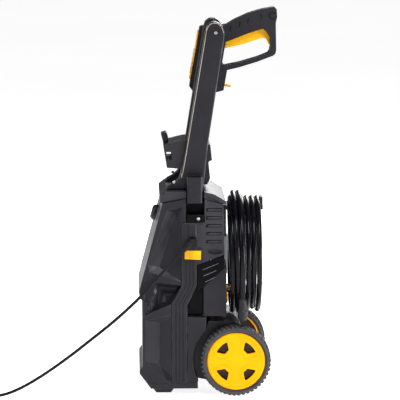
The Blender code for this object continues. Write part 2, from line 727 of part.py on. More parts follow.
def build_wheels():
    half = TYRE_WIDTH / 2
    end = half - 8 * MM
    axle_length = 2 * (WHEEL_Y + end - 1 * MM)
    smooth(rod("axle", AXLE_DIAMETER / 2, axle_length, axle_matrix(-axle_length / 2), STEEL))
    bore = AXLE_DIAMETER / 2 + RUNNING
    rim = HUB_RADIUS
    hub_profile = [(0, half - 2 * MM), (rim - 6 * MM, half - 2 * MM), (rim, half - 5 * MM), (rim, -half + 4 * MM),
                   (rim - 4 * MM, -half + 4 * MM), (rim - 4 * MM, half - 8 * MM), (15 * MM, half - 8 * MM),
                   (13 * MM, -half + 1 * MM), (bore, -half + 1 * MM), (bore, end), (0, end)]
    seat = HUB_RADIUS + GAP
    tyre_profile = [(seat, half - 3 * MM), (seat + 6 * MM, half), (WHEEL_RADIUS - 3 * MM, half - 2 * MM),
                    (WHEEL_RADIUS, half - 6 * MM), (WHEEL_RADIUS, -half + 6 * MM),
                    (WHEEL_RADIUS - 3 * MM, -half + 2 * MM), (seat + 6 * MM, -half), (seat, -half + 3 * MM)]
    for side, label in ((-1, "left"), (1, "right")):
        pivot = empty("wheel_pivot_" + label, (AXLE_X, side * WHEEL_Y, WHEEL_RADIUS))
        hub = bake(turned("wheel_hub_" + label, hub_profile, wheel_matrix(side), YELLOW, steps=32))
        for quarter in range(4):
            cut(hub, hub_opening(side, quarter))
        smooth(bake(hub))
        tyre = turned("tyre_" + label, tyre_profile, wheel_matrix(side), RUBBER, steps=40)
        smooth(bake(tyre))
        carry(pivot, hub, tyre)


def hub_opening(side, quarter):
    """A rounded triangle near the rim, between two spokes."""
    reach, near, spread = 0.80 * HUB_RADIUS, 0.50 * HUB_RADIUS, radians(21)
    rim_points = [(reach * cos(a), reach * sin(a)) for a in (spread, spread / 3, -spread / 3, -spread)]
    outline = [*rim_points, (near, -3 * MM), (near, 3 * MM)]
    turn = Matrix.Rotation(radians(45 + 90 * quarter), 4, "Z")
    return flat("hub_opening", outline, 3 * TYRE_WIDTH, wheel_matrix(side) @ turn, cutter=True)


# Switch and motor-pump unit

FRONT_LEAN = atan2(FRONT_TOP[0] - FRONT_BOTTOM[0], FRONT_TOP[1] - FRONT_BOTTOM[1])


def knob_matrix(offset):
    """Local Z out of the leaning front face, at the knob's centre, starting at an offset from the face."""
    x = FRONT_TOP[0] - (FRONT_TOP[1] - KNOB_Z) * tan(FRONT_LEAN)
    return (Matrix.Translation((x, 0, KNOB_Z)) @ Matrix.Rotation(-pi / 2 + FRONT_LEAN, 4, "Y")
            @ Matrix.Translation((0, 0, offset)))


def build_switch():
    radius = KNOB_DIAMETER / 2
    stem = 5 * MM
    profile = [(0, KNOB_HEIGHT), (radius - 4 * MM, KNOB_HEIGHT), (radius - 1 * MM, KNOB_HEIGHT - 3 * MM),
               (radius, 1 * MM), (stem, 1 * MM), (stem, -12 * MM), (0, -12 * MM)]
    knob = turned("switch_knob", profile, knob_matrix(0), BLACK)
    grip = box("knob_grip", (-radius + 5 * MM, -3 * MM, KNOB_HEIGHT - 3 * MM),
               (radius - 5 * MM, 3 * MM, KNOB_HEIGHT + 2 * MM), YELLOW)
    grip.matrix_world = knob_matrix(0)
    bake(knob)
    join(knob, grip)
    origin = knob_matrix(0)
    pivot = empty("knob_pivot", origin.translation, origin.to_euler())
    carry(pivot, smooth(knob))
    body = box("switch_box", (-20 * MM, -18 * MM, -25 * MM), (20 * MM, 18 * MM, -13 * MM), GLOSS)
    body.matrix_world = knob_matrix(0)


def build_motor():
    low = SHELF_Z + SHELF_THICKNESS + GAP
    high = low + 104 * MM
    bearing = SHAFT_RADIUS + RUNNING
    can = [(bearing, high), (MOTOR_RADIUS, high), (MOTOR_RADIUS, low), (SHAFT_RADIUS + 6 * MM, low),
           (SHAFT_RADIUS + 6 * MM, low + 4 * MM), (MOTOR_RADIUS - 5 * MM, low + 4 * MM),
           (MOTOR_RADIUS - 5 * MM, low + 30 * MM), (MOTOR_RADIUS - 18 * MM, low + 30 * MM),
           (MOTOR_RADIUS - 18 * MM, high - 20 * MM), (MOTOR_RADIUS - 5 * MM, high - 20 * MM),
           (MOTOR_RADIUS - 5 * MM, high - 6 * MM), (bearing, high - 6 * MM)]
    smooth(turned("motor_can", can, up_matrix(MOTOR_X, 0, 0), STEEL))
    core = MOTOR_RADIUS - 19.5 * MM
    shaft_low = SWASH_Z + 12 * MM + GAP
    fan_low = high + 10 * MM
    fan_high = fan_low + 12 * MM
    rotor = [(0, fan_high), (SHAFT_RADIUS, fan_high), (SHAFT_RADIUS, low + 80 * MM), (core, low + 78 * MM),
             (core, low + 34 * MM), (SHAFT_RADIUS, low + 32 * MM), (SHAFT_RADIUS, shaft_low), (0, shaft_low)]
    shaft = smooth(turned("rotor", rotor, up_matrix(MOTOR_X, 0, 0), WINDING))
    fan = flat("cooling_fan", fan_outline(MOTOR_RADIUS - 10 * MM, 16 * MM, 9), fan_high - fan_low,
               up_matrix(MOTOR_X, 0, (fan_low + fan_high) / 2), BLACK)
    bore = rod("fan_bore", SHAFT_RADIUS + GAP, 60 * MM, up_matrix(MOTOR_X, 0, fan_low - 20 * MM), cutter=True)
    cut(fan, bore)
    swash = rod("swash_plate", SWASH_RADIUS, 16 * MM, up_matrix(MOTOR_X, 0, shaft_low - 16 * MM - GAP), STEEL)
    slant = box("swash_slant", (-60 * MM, -60 * MM, -60 * MM), (60 * MM, 60 * MM, 0), cutter=True)
    slant.matrix_world = Matrix.Translation((MOTOR_X, 0, SWASH_Z)) @ Matrix.Rotation(SWASH_TILT, 4, "Y")
    cut(swash, slant)
    pivot = empty("motor_pivot", (MOTOR_X, 0, 0))
    carry(pivot, shaft, fan, swash)


def fan_outline(outer, inner, blades):
    points = []
    for blade in range(blades):
        base = 2 * pi * blade / blades
        for radius, offset in ((inner, 0.0), (outer, 0.16), (outer, 0.30), (inner, 0.36)):
            points.append((radius * cos(base + offset), radius * sin(base + offset)))
    return points


INLET_Y, INLET_Z, INLET_RADIUS = -36 * MM, 209 * MM, 13 * MM
OUTLET_Y, OUTLET_Z, OUTLET_RADIUS = 20 * MM, 220 * MM, 10 * MM
HEAD_LOW = 192 * MM
HEAD_HIGH = 232 * MM
HEAD_HALF = 44 * MM


def build_pump():
    top = SHELF_Z - GAP
    low = HEAD_HIGH + GAP
    housing = [(38 * MM, top), (38 * MM, low), (31 * MM, low), (31 * MM, top)]
    smooth(turned("pump_housing", housing, up_matrix(MOTOR_X, 0, 0), ALLOY))
    head = box("pump_head", (MOTOR_X - HEAD_HALF, -HEAD_HALF - 10 * MM, HEAD_LOW),
               (MOTOR_X + HEAD_HALF, HEAD_HALF + 10 * MM, HEAD_HIGH), BRASS)
    piston_low = HEAD_HIGH - 12 * MM
    piston_high = SWASH_Z - SWASH_RADIUS * sin(SWASH_TILT) - PISTON_STROKE - GAP * 2
    for number in range(3):
        angle = 2 * pi * number / 3 + pi / 6
        x = MOTOR_X + PISTON_CIRCLE * cos(angle)
        y = PISTON_CIRCLE * sin(angle)
        bore = rod("piston_bore", PISTON_RADIUS + RUNNING, 60 * MM, up_matrix(x, y, HEAD_LOW + 12 * MM),
                   cutter=True)
        cut(head, bore)
        guide = empty("piston_guide_%d" % (number + 1), (x, y, piston_low))
        piston = rod("piston_%d" % (number + 1), PISTON_RADIUS, piston_high - piston_low,
                     up_matrix(x, y, piston_low), STEEL)
        carry(guide, smooth(piston))
    face = MOTOR_X + HEAD_HALF
    inlet = [(INLET_RADIUS - 2 * MM, PANEL_X + 6 * MM - face), (INLET_RADIUS, PANEL_X + 4 * MM - face),
             (INLET_RADIUS, GAP), (7 * MM, GAP), (7 * MM, PANEL_X + 6 * MM - face)]
    smooth(turned("water_inlet", inlet, port_matrix(face, INLET_Y, INLET_Z), YELLOW))
    outlet = [(OUTLET_RADIUS, PANEL_X + 18 * MM - face), (OUTLET_RADIUS, GAP), (4 * MM, GAP),
              (4 * MM, PANEL_X + 18 * MM - face)]
    smooth(turned("pressure_outlet", outlet, port_matrix(face, OUTLET_Y, OUTLET_Z), BRASS))


# Hose, hung on its hook

def build_hose_hook():
    inner = COIL_RADIUS - COIL_LAYERS - GAP
    half_angle = 17
    top = [(inner * sin(radians(a)), COIL_Z + inner * cos(radians(a))) for a in
           [half_angle * (2 * i / 6 - 1) for i in range(7)]]
    under = [(inner * sin(radians(half_angle)), COIL_Z + inner * cos(radians(half_angle)) - 9 * MM),
             (-inner * sin(radians(half_angle)), COIL_Z + inner * cos(radians(half_angle)) - 9 * MM)]
    plate_back = REAR_X + 4 * MM
    front = plate_back - GAP
    back = COIL_X[1] + 7 * MM
    arm = flat("hose_hook", [*top, *under], back - front, rear_plane((front + back) / 2), BLACK)
    lip = box("hook_lip", (COIL_X[1] + GAP * 4, -22 * MM, COIL_Z + inner - 12 * MM),
              (back, 22 * MM, COIL_Z + inner + 13 * MM), BLACK)
    plate = box("hook_plate", (REAR_X + GAP, -38 * MM, 352 * MM), (plate_back + 3 * MM, 38 * MM, 424 * MM),
                BLACK)
    join(arm, lip)
    join(arm, plate)


def build_hose():
    half = (COIL_X[1] - COIL_X[0]) / 2
    inner = COIL_RADIUS - COIL_LAYERS
    round_off = 5 * MM
    profile = [(COIL_RADIUS - round_off, half), (COIL_RADIUS, half - round_off), (COIL_RADIUS, -half + round_off),
               (COIL_RADIUS - round_off, -half), (inner + 2 * MM, -half), (inner, -half + 2 * MM),
               (inner, half - 2 * MM), (inner + 2 * MM, half)]
    middle = (COIL_X[0] + COIL_X[1]) / 2
    smooth(turned("hose_coil", profile, port_matrix(middle, 0, COIL_Z), HOSE, steps=48))
    outlet_end = PANEL_X + 18 * MM + GAP
    side = COIL_X[1] + HOSE_DIAMETER / 2 + 1 * MM
    route = [(outlet_end, OUTLET_Y, OUTLET_Z), (outlet_end + 18 * MM, OUTLET_Y, OUTLET_Z),
             (side - 24 * MM, OUTLET_Y + 6.4 * MM, OUTLET_Z), (side - 6.4 * MM, OUTLET_Y + 24 * MM, OUTLET_Z),
             (side, OUTLET_Y + 48 * MM, OUTLET_Z), (side, OUTLET_Y + 64.4 * MM, OUTLET_Z + 2.9 * MM),
             (side, OUTLET_Y + 78.9 * MM, OUTLET_Z + 11.2 * MM), (side, OUTLET_Y + 89.6 * MM, OUTLET_Z + 24 * MM)]
    tube("hose_lead", smooth_route(route, 10 * MM), HOSE_DIAMETER / 2, HOSE)
    connector = [(6.5 * MM, 0), (9 * MM, -3 * MM), (9 * MM, -26 * MM), (11 * MM, -28 * MM), (11 * MM, -44 * MM),
                 (8 * MM, -46 * MM), (8 * MM, -50 * MM), (4 * MM, -50 * MM), (4 * MM, -20 * MM), (0, -20 * MM),
                 ]
    smooth(turned("hose_connector", [(0, 0), *connector], up_matrix(74 * MM, -127 * MM, 222 * MM), BLACK))


# Mains lead

LEAD_EXIT = Vector((-48 * MM, LEAD_SIDE_Y + 4 * MM, 348 * MM))
LEAD_DIRECTION = Vector((-0.68, -0.02, -0.73)).normalized()


def build_lead():
    side = BASE_WIDTH / 2
    cover = box("gland_cover", (-47 * MM, -side - 3 * MM, 364 * MM), (-31 * MM, -side - GAP, 394 * MM), BLACK)
    bevel = cover.modifiers.new("rounding", "BEVEL")
    bevel.width = 1.5 * MM
    bevel.segments = 1
    bake(cover)
    block = box("strain_relief", (-46 * MM, -side - 19 * MM, 344 * MM), (-31 * MM, -side - GAP, 362 * MM),
                BLACK)
    boot_start = LEAD_EXIT - LEAD_DIRECTION * 8 * MM
    turn = LEAD_DIRECTION.to_track_quat("Z", "Y").to_matrix().to_4x4()
    boot_profile = [(0, 34 * MM), (4.2 * MM, 34 * MM), (6.5 * MM, 2 * MM), (6.5 * MM, 0), (0, 0)]
    boot = turned("boot", boot_profile, Matrix.Translation(boot_start) @ turn, BLACK, steps=16)
    bake(boot)
    join(block, boot)
    start = boot_start + LEAD_DIRECTION * (34 * MM + GAP)
    end_x = LEAD_COIL_X + 43.5 * MM
    floor = LEAD_DIAMETER / 2 + GAP
    y = LEAD_SIDE_Y
    route = [start, start + LEAD_DIRECTION * 12 * MM,
             (-104 * MM, y + 3 * MM, 289 * MM), (-136 * MM, y + 2 * MM, 255 * MM),
             (-161 * MM, y + 2 * MM, 227 * MM), (-188 * MM, y + 2 * MM, 201 * MM),
             (-215 * MM, y + 1 * MM, 177 * MM), (-244 * MM, y + 1 * MM, 153 * MM),
             (-273 * MM, y + 1 * MM, 130 * MM), (-310 * MM, y, 101 * MM), (-348 * MM, y, 73 * MM),
             (-388 * MM, y, 46 * MM), (-428 * MM, y, 23 * MM), (-462 * MM, y, 9 * MM),
             (-490 * MM, y, floor + 0.4 * MM), (-516 * MM, y, floor), (end_x, y, floor)]
    tube("mains_cord", smooth_route(route, 14 * MM), LEAD_DIAMETER / 2, HOSE)
    centre_y = LEAD_SIDE_Y + LEAD_COIL_RADIUS
    half = LEAD_COIL_SECTION / 2
    inner, outer = LEAD_COIL_RADIUS - half, LEAD_COIL_RADIUS + half
    profile = [(outer - 4 * MM, 2 * half), (outer, 2 * half - 4 * MM), (outer, 3 * MM), (outer - 3 * MM, 0),
               (inner + 3 * MM, 0), (inner, 3 * MM), (inner, 2 * half - 4 * MM), (inner + 4 * MM, 2 * half)]
    smooth(turned("mains_coil", profile, up_matrix(LEAD_COIL_X, centre_y, GAP), HOSE, steps=32))
    build_plug(end_x + GAP, centre_y + LEAD_COIL_RADIUS)


def build_plug(x, y):
    """A round two-pin plug, lying with its pins towards +X."""
    z = 19 * MM + GAP
    profile = [(0, 42 * MM), (17 * MM, 42 * MM), (19 * MM, 38 * MM), (19 * MM, 22 * MM), (12 * MM, 8 * MM),
               (5 * MM, 0), (0, 0)]
    plug = turned("mains_plug", profile, port_matrix(x, y, z), BLACK)
    bake(plug)
    for offset in (-9.5 * MM, 9.5 * MM):
        pin = rod("plug_pin", 2.4 * MM, 24 * MM, port_matrix(x + 37 * MM, y + offset, z), STEEL, sides=12)
        join(plug, pin)
    smooth(plug)


# Spray gun, drawn about its lance axis and then leaned into the far holster

GUN_Y = SLEEVE_Y
GUN_FOOT_X = -3 * MM           # lance axis where it enters the gun
GUN_FOOT_Z = 669 * MM


def gun_matrix():
    return Matrix.Translation((GUN_FOOT_X, GUN_Y, GUN_FOOT_Z)) @ Matrix.Rotation(HANDLE_LEAN, 4, "Y")


def gun_outline():
    return mm((-24, -8), (26, 6), (40, 12), (41, 60), (68, 71), (107, 90), (142, 110), (146, 116), (146, 124),
              (135, 186), (136, 200), (132, 217), (126, 222), (98, 212), (69, 198), (40, 179), (22, 164), (8, 160),
              (-34, 152), (-38, 148), (-38, 98), (-40, 24), (-40, 9))


def guard_window():
    """Open space in front of the trigger; its upper side stays behind the trigger's blade."""
    return mm((27, 75), (33, 70), (66, 82), (106, 101), (128, 114), (131, 120), (131, 133), (126.5, 150),
              (116, 162.5), (107.5, 168), (75, 151.5), (27, 123.5))


def gun_piece(name, outline, low, high, mat=None, cutter=False):
    """An outline in the gun's own X, Z, between two of its own Y values."""
    middle = (low + high) / 2
    return flat(name, outline, high - low, gun_matrix() @ side_plane(middle), mat, cutter)


def build_gun():
    pivot = empty("gun_holder", gun_matrix().translation, (0, HANDLE_LEAN, 0))
    half = GUN_THICKNESS / 2
    slot_half = TRIGGER_THICKNESS / 2 + 1 * MM
    window = gun_piece("guard_window", guard_window(), -2 * half, 2 * half, cutter=True)
    slot_outline = mm((21, 60), (60, 78), (139, 116), (139, 150), (129, 200), (60, 178), (21, 150))
    slot = gun_piece("trigger_slot", slot_outline, -slot_half, slot_half, cutter=True)
    valve = rod("valve_bore", 9 * MM, 120 * MM, gun_matrix() @ Matrix.Translation((0, 0, -20 * MM)),
                cutter=True)
    port = rod("inlet_bore", 5 * MM + GAP, 60 * MM, inlet_matrix(), cutter=True)
    lock_hole = rod("lock_hole", LOCK_DIAMETER / 2 + RUNNING * 2, 80 * MM,
                    gun_y_matrix(124 * MM, -40 * MM, 201 * MM), cutter=True)
    pieces = []
    for side, label in ((-1, "left"), (1, "right")):
        low, high = sorted((side * GAP / 2, side * half))
        casing = gun_piece("gun_casing_" + label, gun_outline(), low, high, BLACK)
        for cutter in (window, slot, valve, port, lock_hole):
            cut(casing, cutter)
        pieces.append(bake(casing))
    trim = gun_piece("gun_trim", mm((-38.4, 140), (-38.4, 98), (-40.4, 26), (-43, 26), (-41, 98), (-41, 140)),
                     -13 * MM, 13 * MM, YELLOW)
    inlet_profile = [(5 * MM, 55 * MM), (5 * MM, 12 * MM), (3 * MM, 12 * MM), (3 * MM, 55 * MM)]
    inlet = turned("gun_inlet", inlet_profile, inlet_matrix(), BRASS, 16)
    lance = rod("lance", LANCE_DIAMETER / 2, LANCE_LENGTH + 60 * MM,
                gun_matrix() @ Matrix.Translation((0, 0, -LANCE_LENGTH)), BLACK)
    collar = rod("lance_collar", 13 * MM, 22 * MM, gun_matrix() @ Matrix.Translation((0, 0, -31 * MM)), BLACK)
    join(lance, collar)
    pieces += [trim, smooth(inlet), smooth(lance)]
    carry(pivot, *pieces)
    build_trigger(pivot)
    build_lock(pivot)
    build_nozzle(pivot)


def inlet_matrix():
    return gun_matrix() @ Matrix.Translation((0, 0, 25 * MM)) @ Matrix.Rotation(pi / 2, 4, "Y")


def gun_y_matrix(x, y, z):
    """Local Z along the gun's own Y."""
    return gun_matrix() @ along_y_matrix(x, y, z)


def build_trigger(holder):
    outline = mm((25, 126), (108, 171), (117, 165), (128, 152), (131.5, 134), (127.5, 133), (119, 145), (113, 146),
                 (105, 143), (70, 125), (28, 108), (24, 112))
    half = TRIGGER_THICKNESS / 2
    trigger = gun_piece("trigger", outline, -half, half, YELLOW)
    pin = rod("pin_hole", 2 * MM, 60 * MM, gun_y_matrix(30 * MM, -30 * MM, 117 * MM), cutter=True, sides=12)
    cut(trigger, pin)
    place = gun_matrix() @ Vector((30 * MM, 0, 117 * MM))
    pivot = empty("trigger_pivot", place, (0, HANDLE_LEAN, 0))
    carry(holder, pivot)
    carry(pivot, trigger)


def build_lock(holder):
    length = GUN_THICKNESS + 6 * MM
    button = rod("lock_button", LOCK_DIAMETER / 2, length,
                 gun_y_matrix(124 * MM, -length / 2 - 1 * MM, 201 * MM), BLACK)
    pivot = empty("lock_guide", gun_matrix() @ Vector((124 * MM, 0, 201 * MM)))
    carry(holder, pivot)
    carry(pivot, smooth(button))


def build_nozzle(holder):
    top = -LANCE_LENGTH - GAP
    radius = NOZZLE_DIAMETER / 2
    profile = [(0, 0), (radius, 0), (radius, -NOZZLE_LENGTH + 6 * MM), (radius - 3 * MM, -NOZZLE_LENGTH),
               (0, -NOZZLE_LENGTH)]
    nozzle = turned("nozzle", profile, gun_matrix() @ Matrix.Translation((0, 0, top)), YELLOW)
    pivot = empty("nozzle_pivot", gun_matrix() @ Vector((0, 0, top)), (0, HANDLE_LEAN, 0))
    carry(holder, pivot)
    carry(pivot, smooth(nozzle))


def build():
    build_base_tray()
    build_feet()
    build_lower_front_cover()
    build_lower_rear_housing()
    build_axle_carrier()
    build_middle_cover()
    build_upper_front_cover()
    build_upper_rear_cover()
    build_vent_band()
    build_pump_cover()
    build_top_cover()
    build_side_columns()
    build_inner_frame()
    build_holsters()
    build_handle()
    build_cord_hook()
    build_finger()
    build_nozzle_rack()
    build_wheels()
    build_switch()
    build_motor()
    build_pump()
    build_hose_hook()
    build_hose()
    build_lead()
    build_gun()


build()
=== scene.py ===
import bpy
import bmesh
import json
from math import ceil, cos, pi, radians, sin
from mathutils import Matrix, Vector


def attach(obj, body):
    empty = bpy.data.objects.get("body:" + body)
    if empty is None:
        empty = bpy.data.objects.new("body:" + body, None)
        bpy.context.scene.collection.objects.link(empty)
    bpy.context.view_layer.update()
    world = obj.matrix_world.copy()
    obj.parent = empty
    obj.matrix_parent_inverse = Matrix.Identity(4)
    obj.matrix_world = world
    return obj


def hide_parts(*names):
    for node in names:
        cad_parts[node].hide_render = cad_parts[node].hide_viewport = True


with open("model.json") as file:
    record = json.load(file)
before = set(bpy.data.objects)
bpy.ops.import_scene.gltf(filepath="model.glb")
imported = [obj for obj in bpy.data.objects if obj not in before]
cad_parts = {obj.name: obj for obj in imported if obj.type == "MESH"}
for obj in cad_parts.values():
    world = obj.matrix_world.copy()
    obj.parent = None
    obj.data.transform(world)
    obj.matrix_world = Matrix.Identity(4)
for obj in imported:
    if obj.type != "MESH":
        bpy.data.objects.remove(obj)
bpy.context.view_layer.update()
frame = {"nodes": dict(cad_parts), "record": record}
cadNodes = frame["nodes"]
mm = 0.001
bpy.context.scene.view_settings.view_transform = "Standard"

view = {"place": (-0.181, -5.4635, 1.2472), "tilt": 81.5, "turn": -1.7, "lens": 216, "sensor": 36}


def setCamera():
    data = bpy.data.cameras.new("camera")
    data.lens = view["lens"]
    data.sensor_width = view["sensor"]
    camera = bpy.data.objects.new("camera", data)
    camera.location = view["place"]
    camera.rotation_euler = (radians(view["tilt"]), 0, radians(view["turn"]))
    bpy.context.scene.collection.objects.link(camera)
    bpy.context.scene.camera = camera


setCamera()
print("camera set")


# A socket that can be used in sums: each operator adds a Math node.
class Signal:
    def __init__(self, sheet, socket):
        self.sheet = sheet
        self.socket = socket

    def __add__(self, other):
        return self.sheet.maths("ADD", self, other)

    def __sub__(self, other):
        return self.sheet.maths("SUBTRACT", self, other)

    def __rsub__(self, other):
        return self.sheet.maths("SUBTRACT", other, self)

    def __mul__(self, other):
        return self.sheet.maths("MULTIPLY", self, other)

    __radd__ = __add__
    __rmul__ = __mul__


class Sheet:
    def __init__(self, name):
        self.material = bpy.data.materials.new(name)
        self.material.use_nodes = True
        self.tree = self.material.node_tree
        self.shader = self.tree.nodes["Principled BSDF"]
        self.place = self.add("TexCoord", out="Object")

    def add(self, kind, settings=None, inputs=None, out=0):
        node = self.tree.nodes.new("ShaderNode" + kind)
        for key, value in (settings or {}).items():
            setattr(node, key, value)
        for key, value in (inputs or {}).items():
            self.feed(node.inputs[key], value)
        return Signal(self, node.outputs[out])

    def feed(self, socket, value):
        if isinstance(value, Signal):
            self.tree.links.new(value.socket, socket)
        else:
            socket.default_value = value

    def maths(self, operation, a, b):
        return self.add("Math", {"operation": operation}, {0: a, 1: b})

    def noise(self, scale, detail=2.0, stretch=(1, 1, 1)):
        place = self.place
        if stretch != (1, 1, 1):
            place = self.add("Mapping", {}, {"Vector": place, "Scale": stretch})
        return self.add("TexNoise", {}, {"Vector": place, "Scale": scale, "Detail": detail})

    def between(self, value, low, high):
        return self.add("MapRange", {"clamp": True, "interpolation_type": "SMOOTHSTEP"},
                        {"Value": value, "From Min": low, "From Max": high})

    def mix(self, share, a, b):
        return self.add("Mix", {"data_type": "RGBA"}, {0: share, 6: a, 7: b}, out=2)

    def worn(self):
        return self.add("Attribute", {"attribute_name": "wear"}, out="Fac")

    def bump(self, height, strength, distance):
        return self.add("Bump", {}, {"Height": height, "Strength": strength, "Distance": distance})

    def done(self, values):
        for socket, value in values.items():
            self.feed(self.shader.inputs[socket], value)
        return self.material


def rgb(r, g, b):
    return (r, g, b, 1.0)


# Moulded plastic: spark-eroded grain, faint flow marks, handled and rubbed edges, a little dust.
mould = {"broad": 9.0, "blotch": 42.0, "fine": 1400.0, "scuff": 60.0, "darker": 0.82, "lighter": 1.16,
         "depth": 0.0003}


def mouldedPlastic(name, colour, rough, rubbed, grain=1.0, dust=0.06, shine=0.35):
    s = Sheet(name)
    broad = s.noise(mould["broad"], 3.0)
    blotch = s.noise(mould["blotch"], 4.0)
    fine = s.noise(mould["fine"], 2.0)
    scuffs = s.between(s.noise(mould["scuff"], 5.0, (1, 1, 9)), 0.62, 0.78)
    edge = s.worn() * s.between(blotch, 0.40, 0.62)
    dark = tuple(mould["darker"] * c for c in colour)
    light = tuple(min(1.0, mould["lighter"] * c) for c in colour)
    base = s.mix(s.between(broad, 0.3, 0.7), rgb(*dark), rgb(*light))
    dusty = tuple(min(1.0, c + dust * 0.35) for c in colour)
    base = s.mix(s.between(blotch, 0.48, 0.80) * dust, base, rgb(*dusty))
    base = s.mix(scuffs * 0.10, base, rgb(*rubbed))
    base = s.mix(edge * 0.55, base, rgb(*rubbed))
    roughness = rough + (blotch - 0.5) * 0.16 + (fine - 0.5) * 0.10 - edge * 0.08 + scuffs * 0.05
    height = fine * 0.6 + blotch * 0.4
    return s.done({"Base Color": base, "Roughness": roughness,
                   "Normal": s.bump(height, 0.22 * grain, mould["depth"]), "Specular IOR Level": shine})


def rubberSkin(name, colour, rough, sheen):
    s = Sheet(name)
    blotch = s.noise(30.0, 4.0)
    fine = s.noise(900.0, 3.0)
    edge = s.worn() * s.between(blotch, 0.35, 0.65)
    base = s.mix(s.between(blotch, 0.35, 0.75), rgb(*colour), rgb(*[c * 1.5 + 0.004 for c in colour]))
    base = s.mix(edge * 0.5, base, rgb(*sheen))
    roughness = rough + (blotch - 0.5) * 0.18 + (fine - 0.5) * 0.12
    return s.done({"Base Color": base, "Roughness": roughness, "Normal": s.bump(fine, 0.3, 0.0003)})


# Extruded jacket of the hose and the lead: lines weights the fine grain in its bump.
def jacket(name, colour, rough, lines, shine=0.14):
    s = Sheet(name)
    blotch = s.noise(24.0, 4.0)
    fine = s.noise(700.0, 3.0)
    scuffs = s.between(s.noise(120.0, 5.0), 0.60, 0.75)
    base = s.mix(s.between(blotch, 0.3, 0.75), rgb(*colour), rgb(*[c * 1.7 + 0.002 for c in colour]))
    base = s.mix(scuffs * 0.12, base, rgb(0.08, 0.08, 0.085))
    roughness = rough + (blotch - 0.5) * 0.14 + scuffs * 0.12 + (fine - 0.5) * 0.08
    return s.done({"Base Color": base, "Roughness": roughness,
                   "Normal": s.bump(fine * lines + blotch, 0.12, 0.0004), "Specular IOR Level": shine})


def metal(name, colour, dull, rough, brushed=(1, 1, 1)):
    s = Sheet(name)
    blotch = s.noise(60.0, 4.0)
    drawn = s.noise(500.0, 3.0, brushed)
    base = s.mix(s.between(blotch, 0.3, 0.8), rgb(*colour), rgb(*dull))
    roughness = rough + (blotch - 0.4) * 0.25 + (drawn - 0.5) * 0.2
    return s.done({"Base Color": base, "Roughness": roughness, "Metallic": 1.0,
                   "Normal": s.bump(drawn, 0.15, 0.0002)})


# The windings: fine rings of wire round the rotor.
def copperWinding(name):
    s = Sheet(name)
    wire = s.add("TexWave", {"wave_type": "BANDS", "bands_direction": "Z"},
                 {"Vector": s.place, "Scale": 260.0})
    blotch = s.noise(80.0, 3.0)
    base = s.mix(wire, rgb(0.20, 0.06, 0.02), rgb(0.72, 0.30, 0.14))
    base = s.mix(s.between(blotch, 0.4, 0.8) * 0.4, base, rgb(0.30, 0.12, 0.06))
    return s.done({"Base Color": base, "Roughness": 0.3 + blotch * 0.2, "Metallic": 0.9,
                   "Normal": s.bump(wire, 0.4, 0.0005)})


blackPlastic = mouldedPlastic("blackPlastic", (0.0130, 0.0122, 0.0162), 0.40, (0.05, 0.05, 0.056), shine=0.22)
greyPlastic = mouldedPlastic("greyPlastic", (0.026, 0.025, 0.030), 0.42, (0.07, 0.07, 0.076), shine=0.24)
glossPlastic = mouldedPlastic("glossPlastic", (0.0020, 0.0020, 0.0025), 0.30, (0.02, 0.02, 0.02),
                              grain=0.3, dust=0.02, shine=0.07)
yellowPlastic = mouldedPlastic("yellowPlastic", (0.93, 0.37, 0.001), 0.50, (0.95, 0.44, 0.02),
                               grain=0.5, dust=0.0, shine=0.08)
triggerPlastic = mouldedPlastic("triggerPlastic", (0.93, 0.44, 0.004), 0.40, (0.98, 0.56, 0.06),
                                grain=0.5, dust=0.0, shine=0.2)
labelFilm = mouldedPlastic("labelFilm", (0.93, 0.42, 0.001), 0.35, (0.98, 0.60, 0.05),
                           grain=0.2, dust=0.0, shine=0.15)
tyreRubber = rubberSkin("tyreRubber", (0.026, 0.025, 0.029), 0.62, (0.14, 0.14, 0.15))
footRubber = rubberSkin("footRubber", (0.016, 0.016, 0.016), 0.78, (0.06, 0.06, 0.06))
hoseJacket = jacket("hoseJacket", (0.0030, 0.0030, 0.0045), 0.20, 0.5)
leadJacket = jacket("leadJacket", (0.006, 0.006, 0.007), 0.30, 0.8)
zincSteel = metal("zincSteel", (0.58, 0.58, 0.60), (0.40, 0.40, 0.42), 0.30, (1, 1, 12))
castAlloy = metal("castAlloy", (0.55, 0.56, 0.57), (0.42, 0.42, 0.43), 0.48)
brass = metal("brass", (0.78, 0.46, 0.15), (0.50, 0.26, 0.08), 0.26, (6, 1, 1))
copper = copperWinding("copper")
# Near-black frame alloy: painted shade, so the side window reads dark instead of showing the lit frame.
frameAlloyPaintedShade = metal("frameAlloyPaintedShade", (0.012, 0.012, 0.014), (0.007, 0.007, 0.008), 0.5)
# Light grey for the vent teeth: a painted highlight, the light caught on the vent slots' lips.
ventHighlightPaint = mouldedPlastic("ventHighlightPaint", (0.20, 0.20, 0.21), 0.40, (0.4, 0.4, 0.4))
palePlastic = mouldedPlastic("palePlastic", (0.22, 0.23, 0.24), 0.45, (0.4, 0.4, 0.42))
# Light beige for the rail seam bead: a painted highlight along the rail's front edge.
seamHighlightPaint = mouldedPlastic("seamHighlightPaint", (0.30, 0.27, 0.22), 0.55, (0.45, 0.42, 0.36))
webPlastic = mouldedPlastic("webPlastic", (0.035, 0.026, 0.020), 0.55, (0.10, 0.09, 0.08))
paleFilm = mouldedPlastic("paleFilm", (0.42, 0.46, 0.60), 0.35, (0.7, 0.7, 0.8), grain=0.2, dust=0.04)
print("materials made")


# Pieces in general
def meshPiece(bm, name, body, material, slotName, replaces=(), sharpAngle=38):
    mesh = bpy.data.meshes.new(name)
    bm.to_mesh(mesh)
    bm.free()
    obj = bpy.data.objects.new(name, mesh)
    bpy.context.scene.collection.objects.link(obj)
    mesh.materials.append(material)
    mesh.shade_smooth()
    mesh.set_sharp_from_angle(angle=radians(sharpAngle))
    even = obj.modifiers.new("even shading", "WEIGHTED_NORMAL")
    even.keep_sharp = True
    even.weight = 60
    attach(obj, body)
    if replaces:
        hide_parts(*replaces)
    return obj


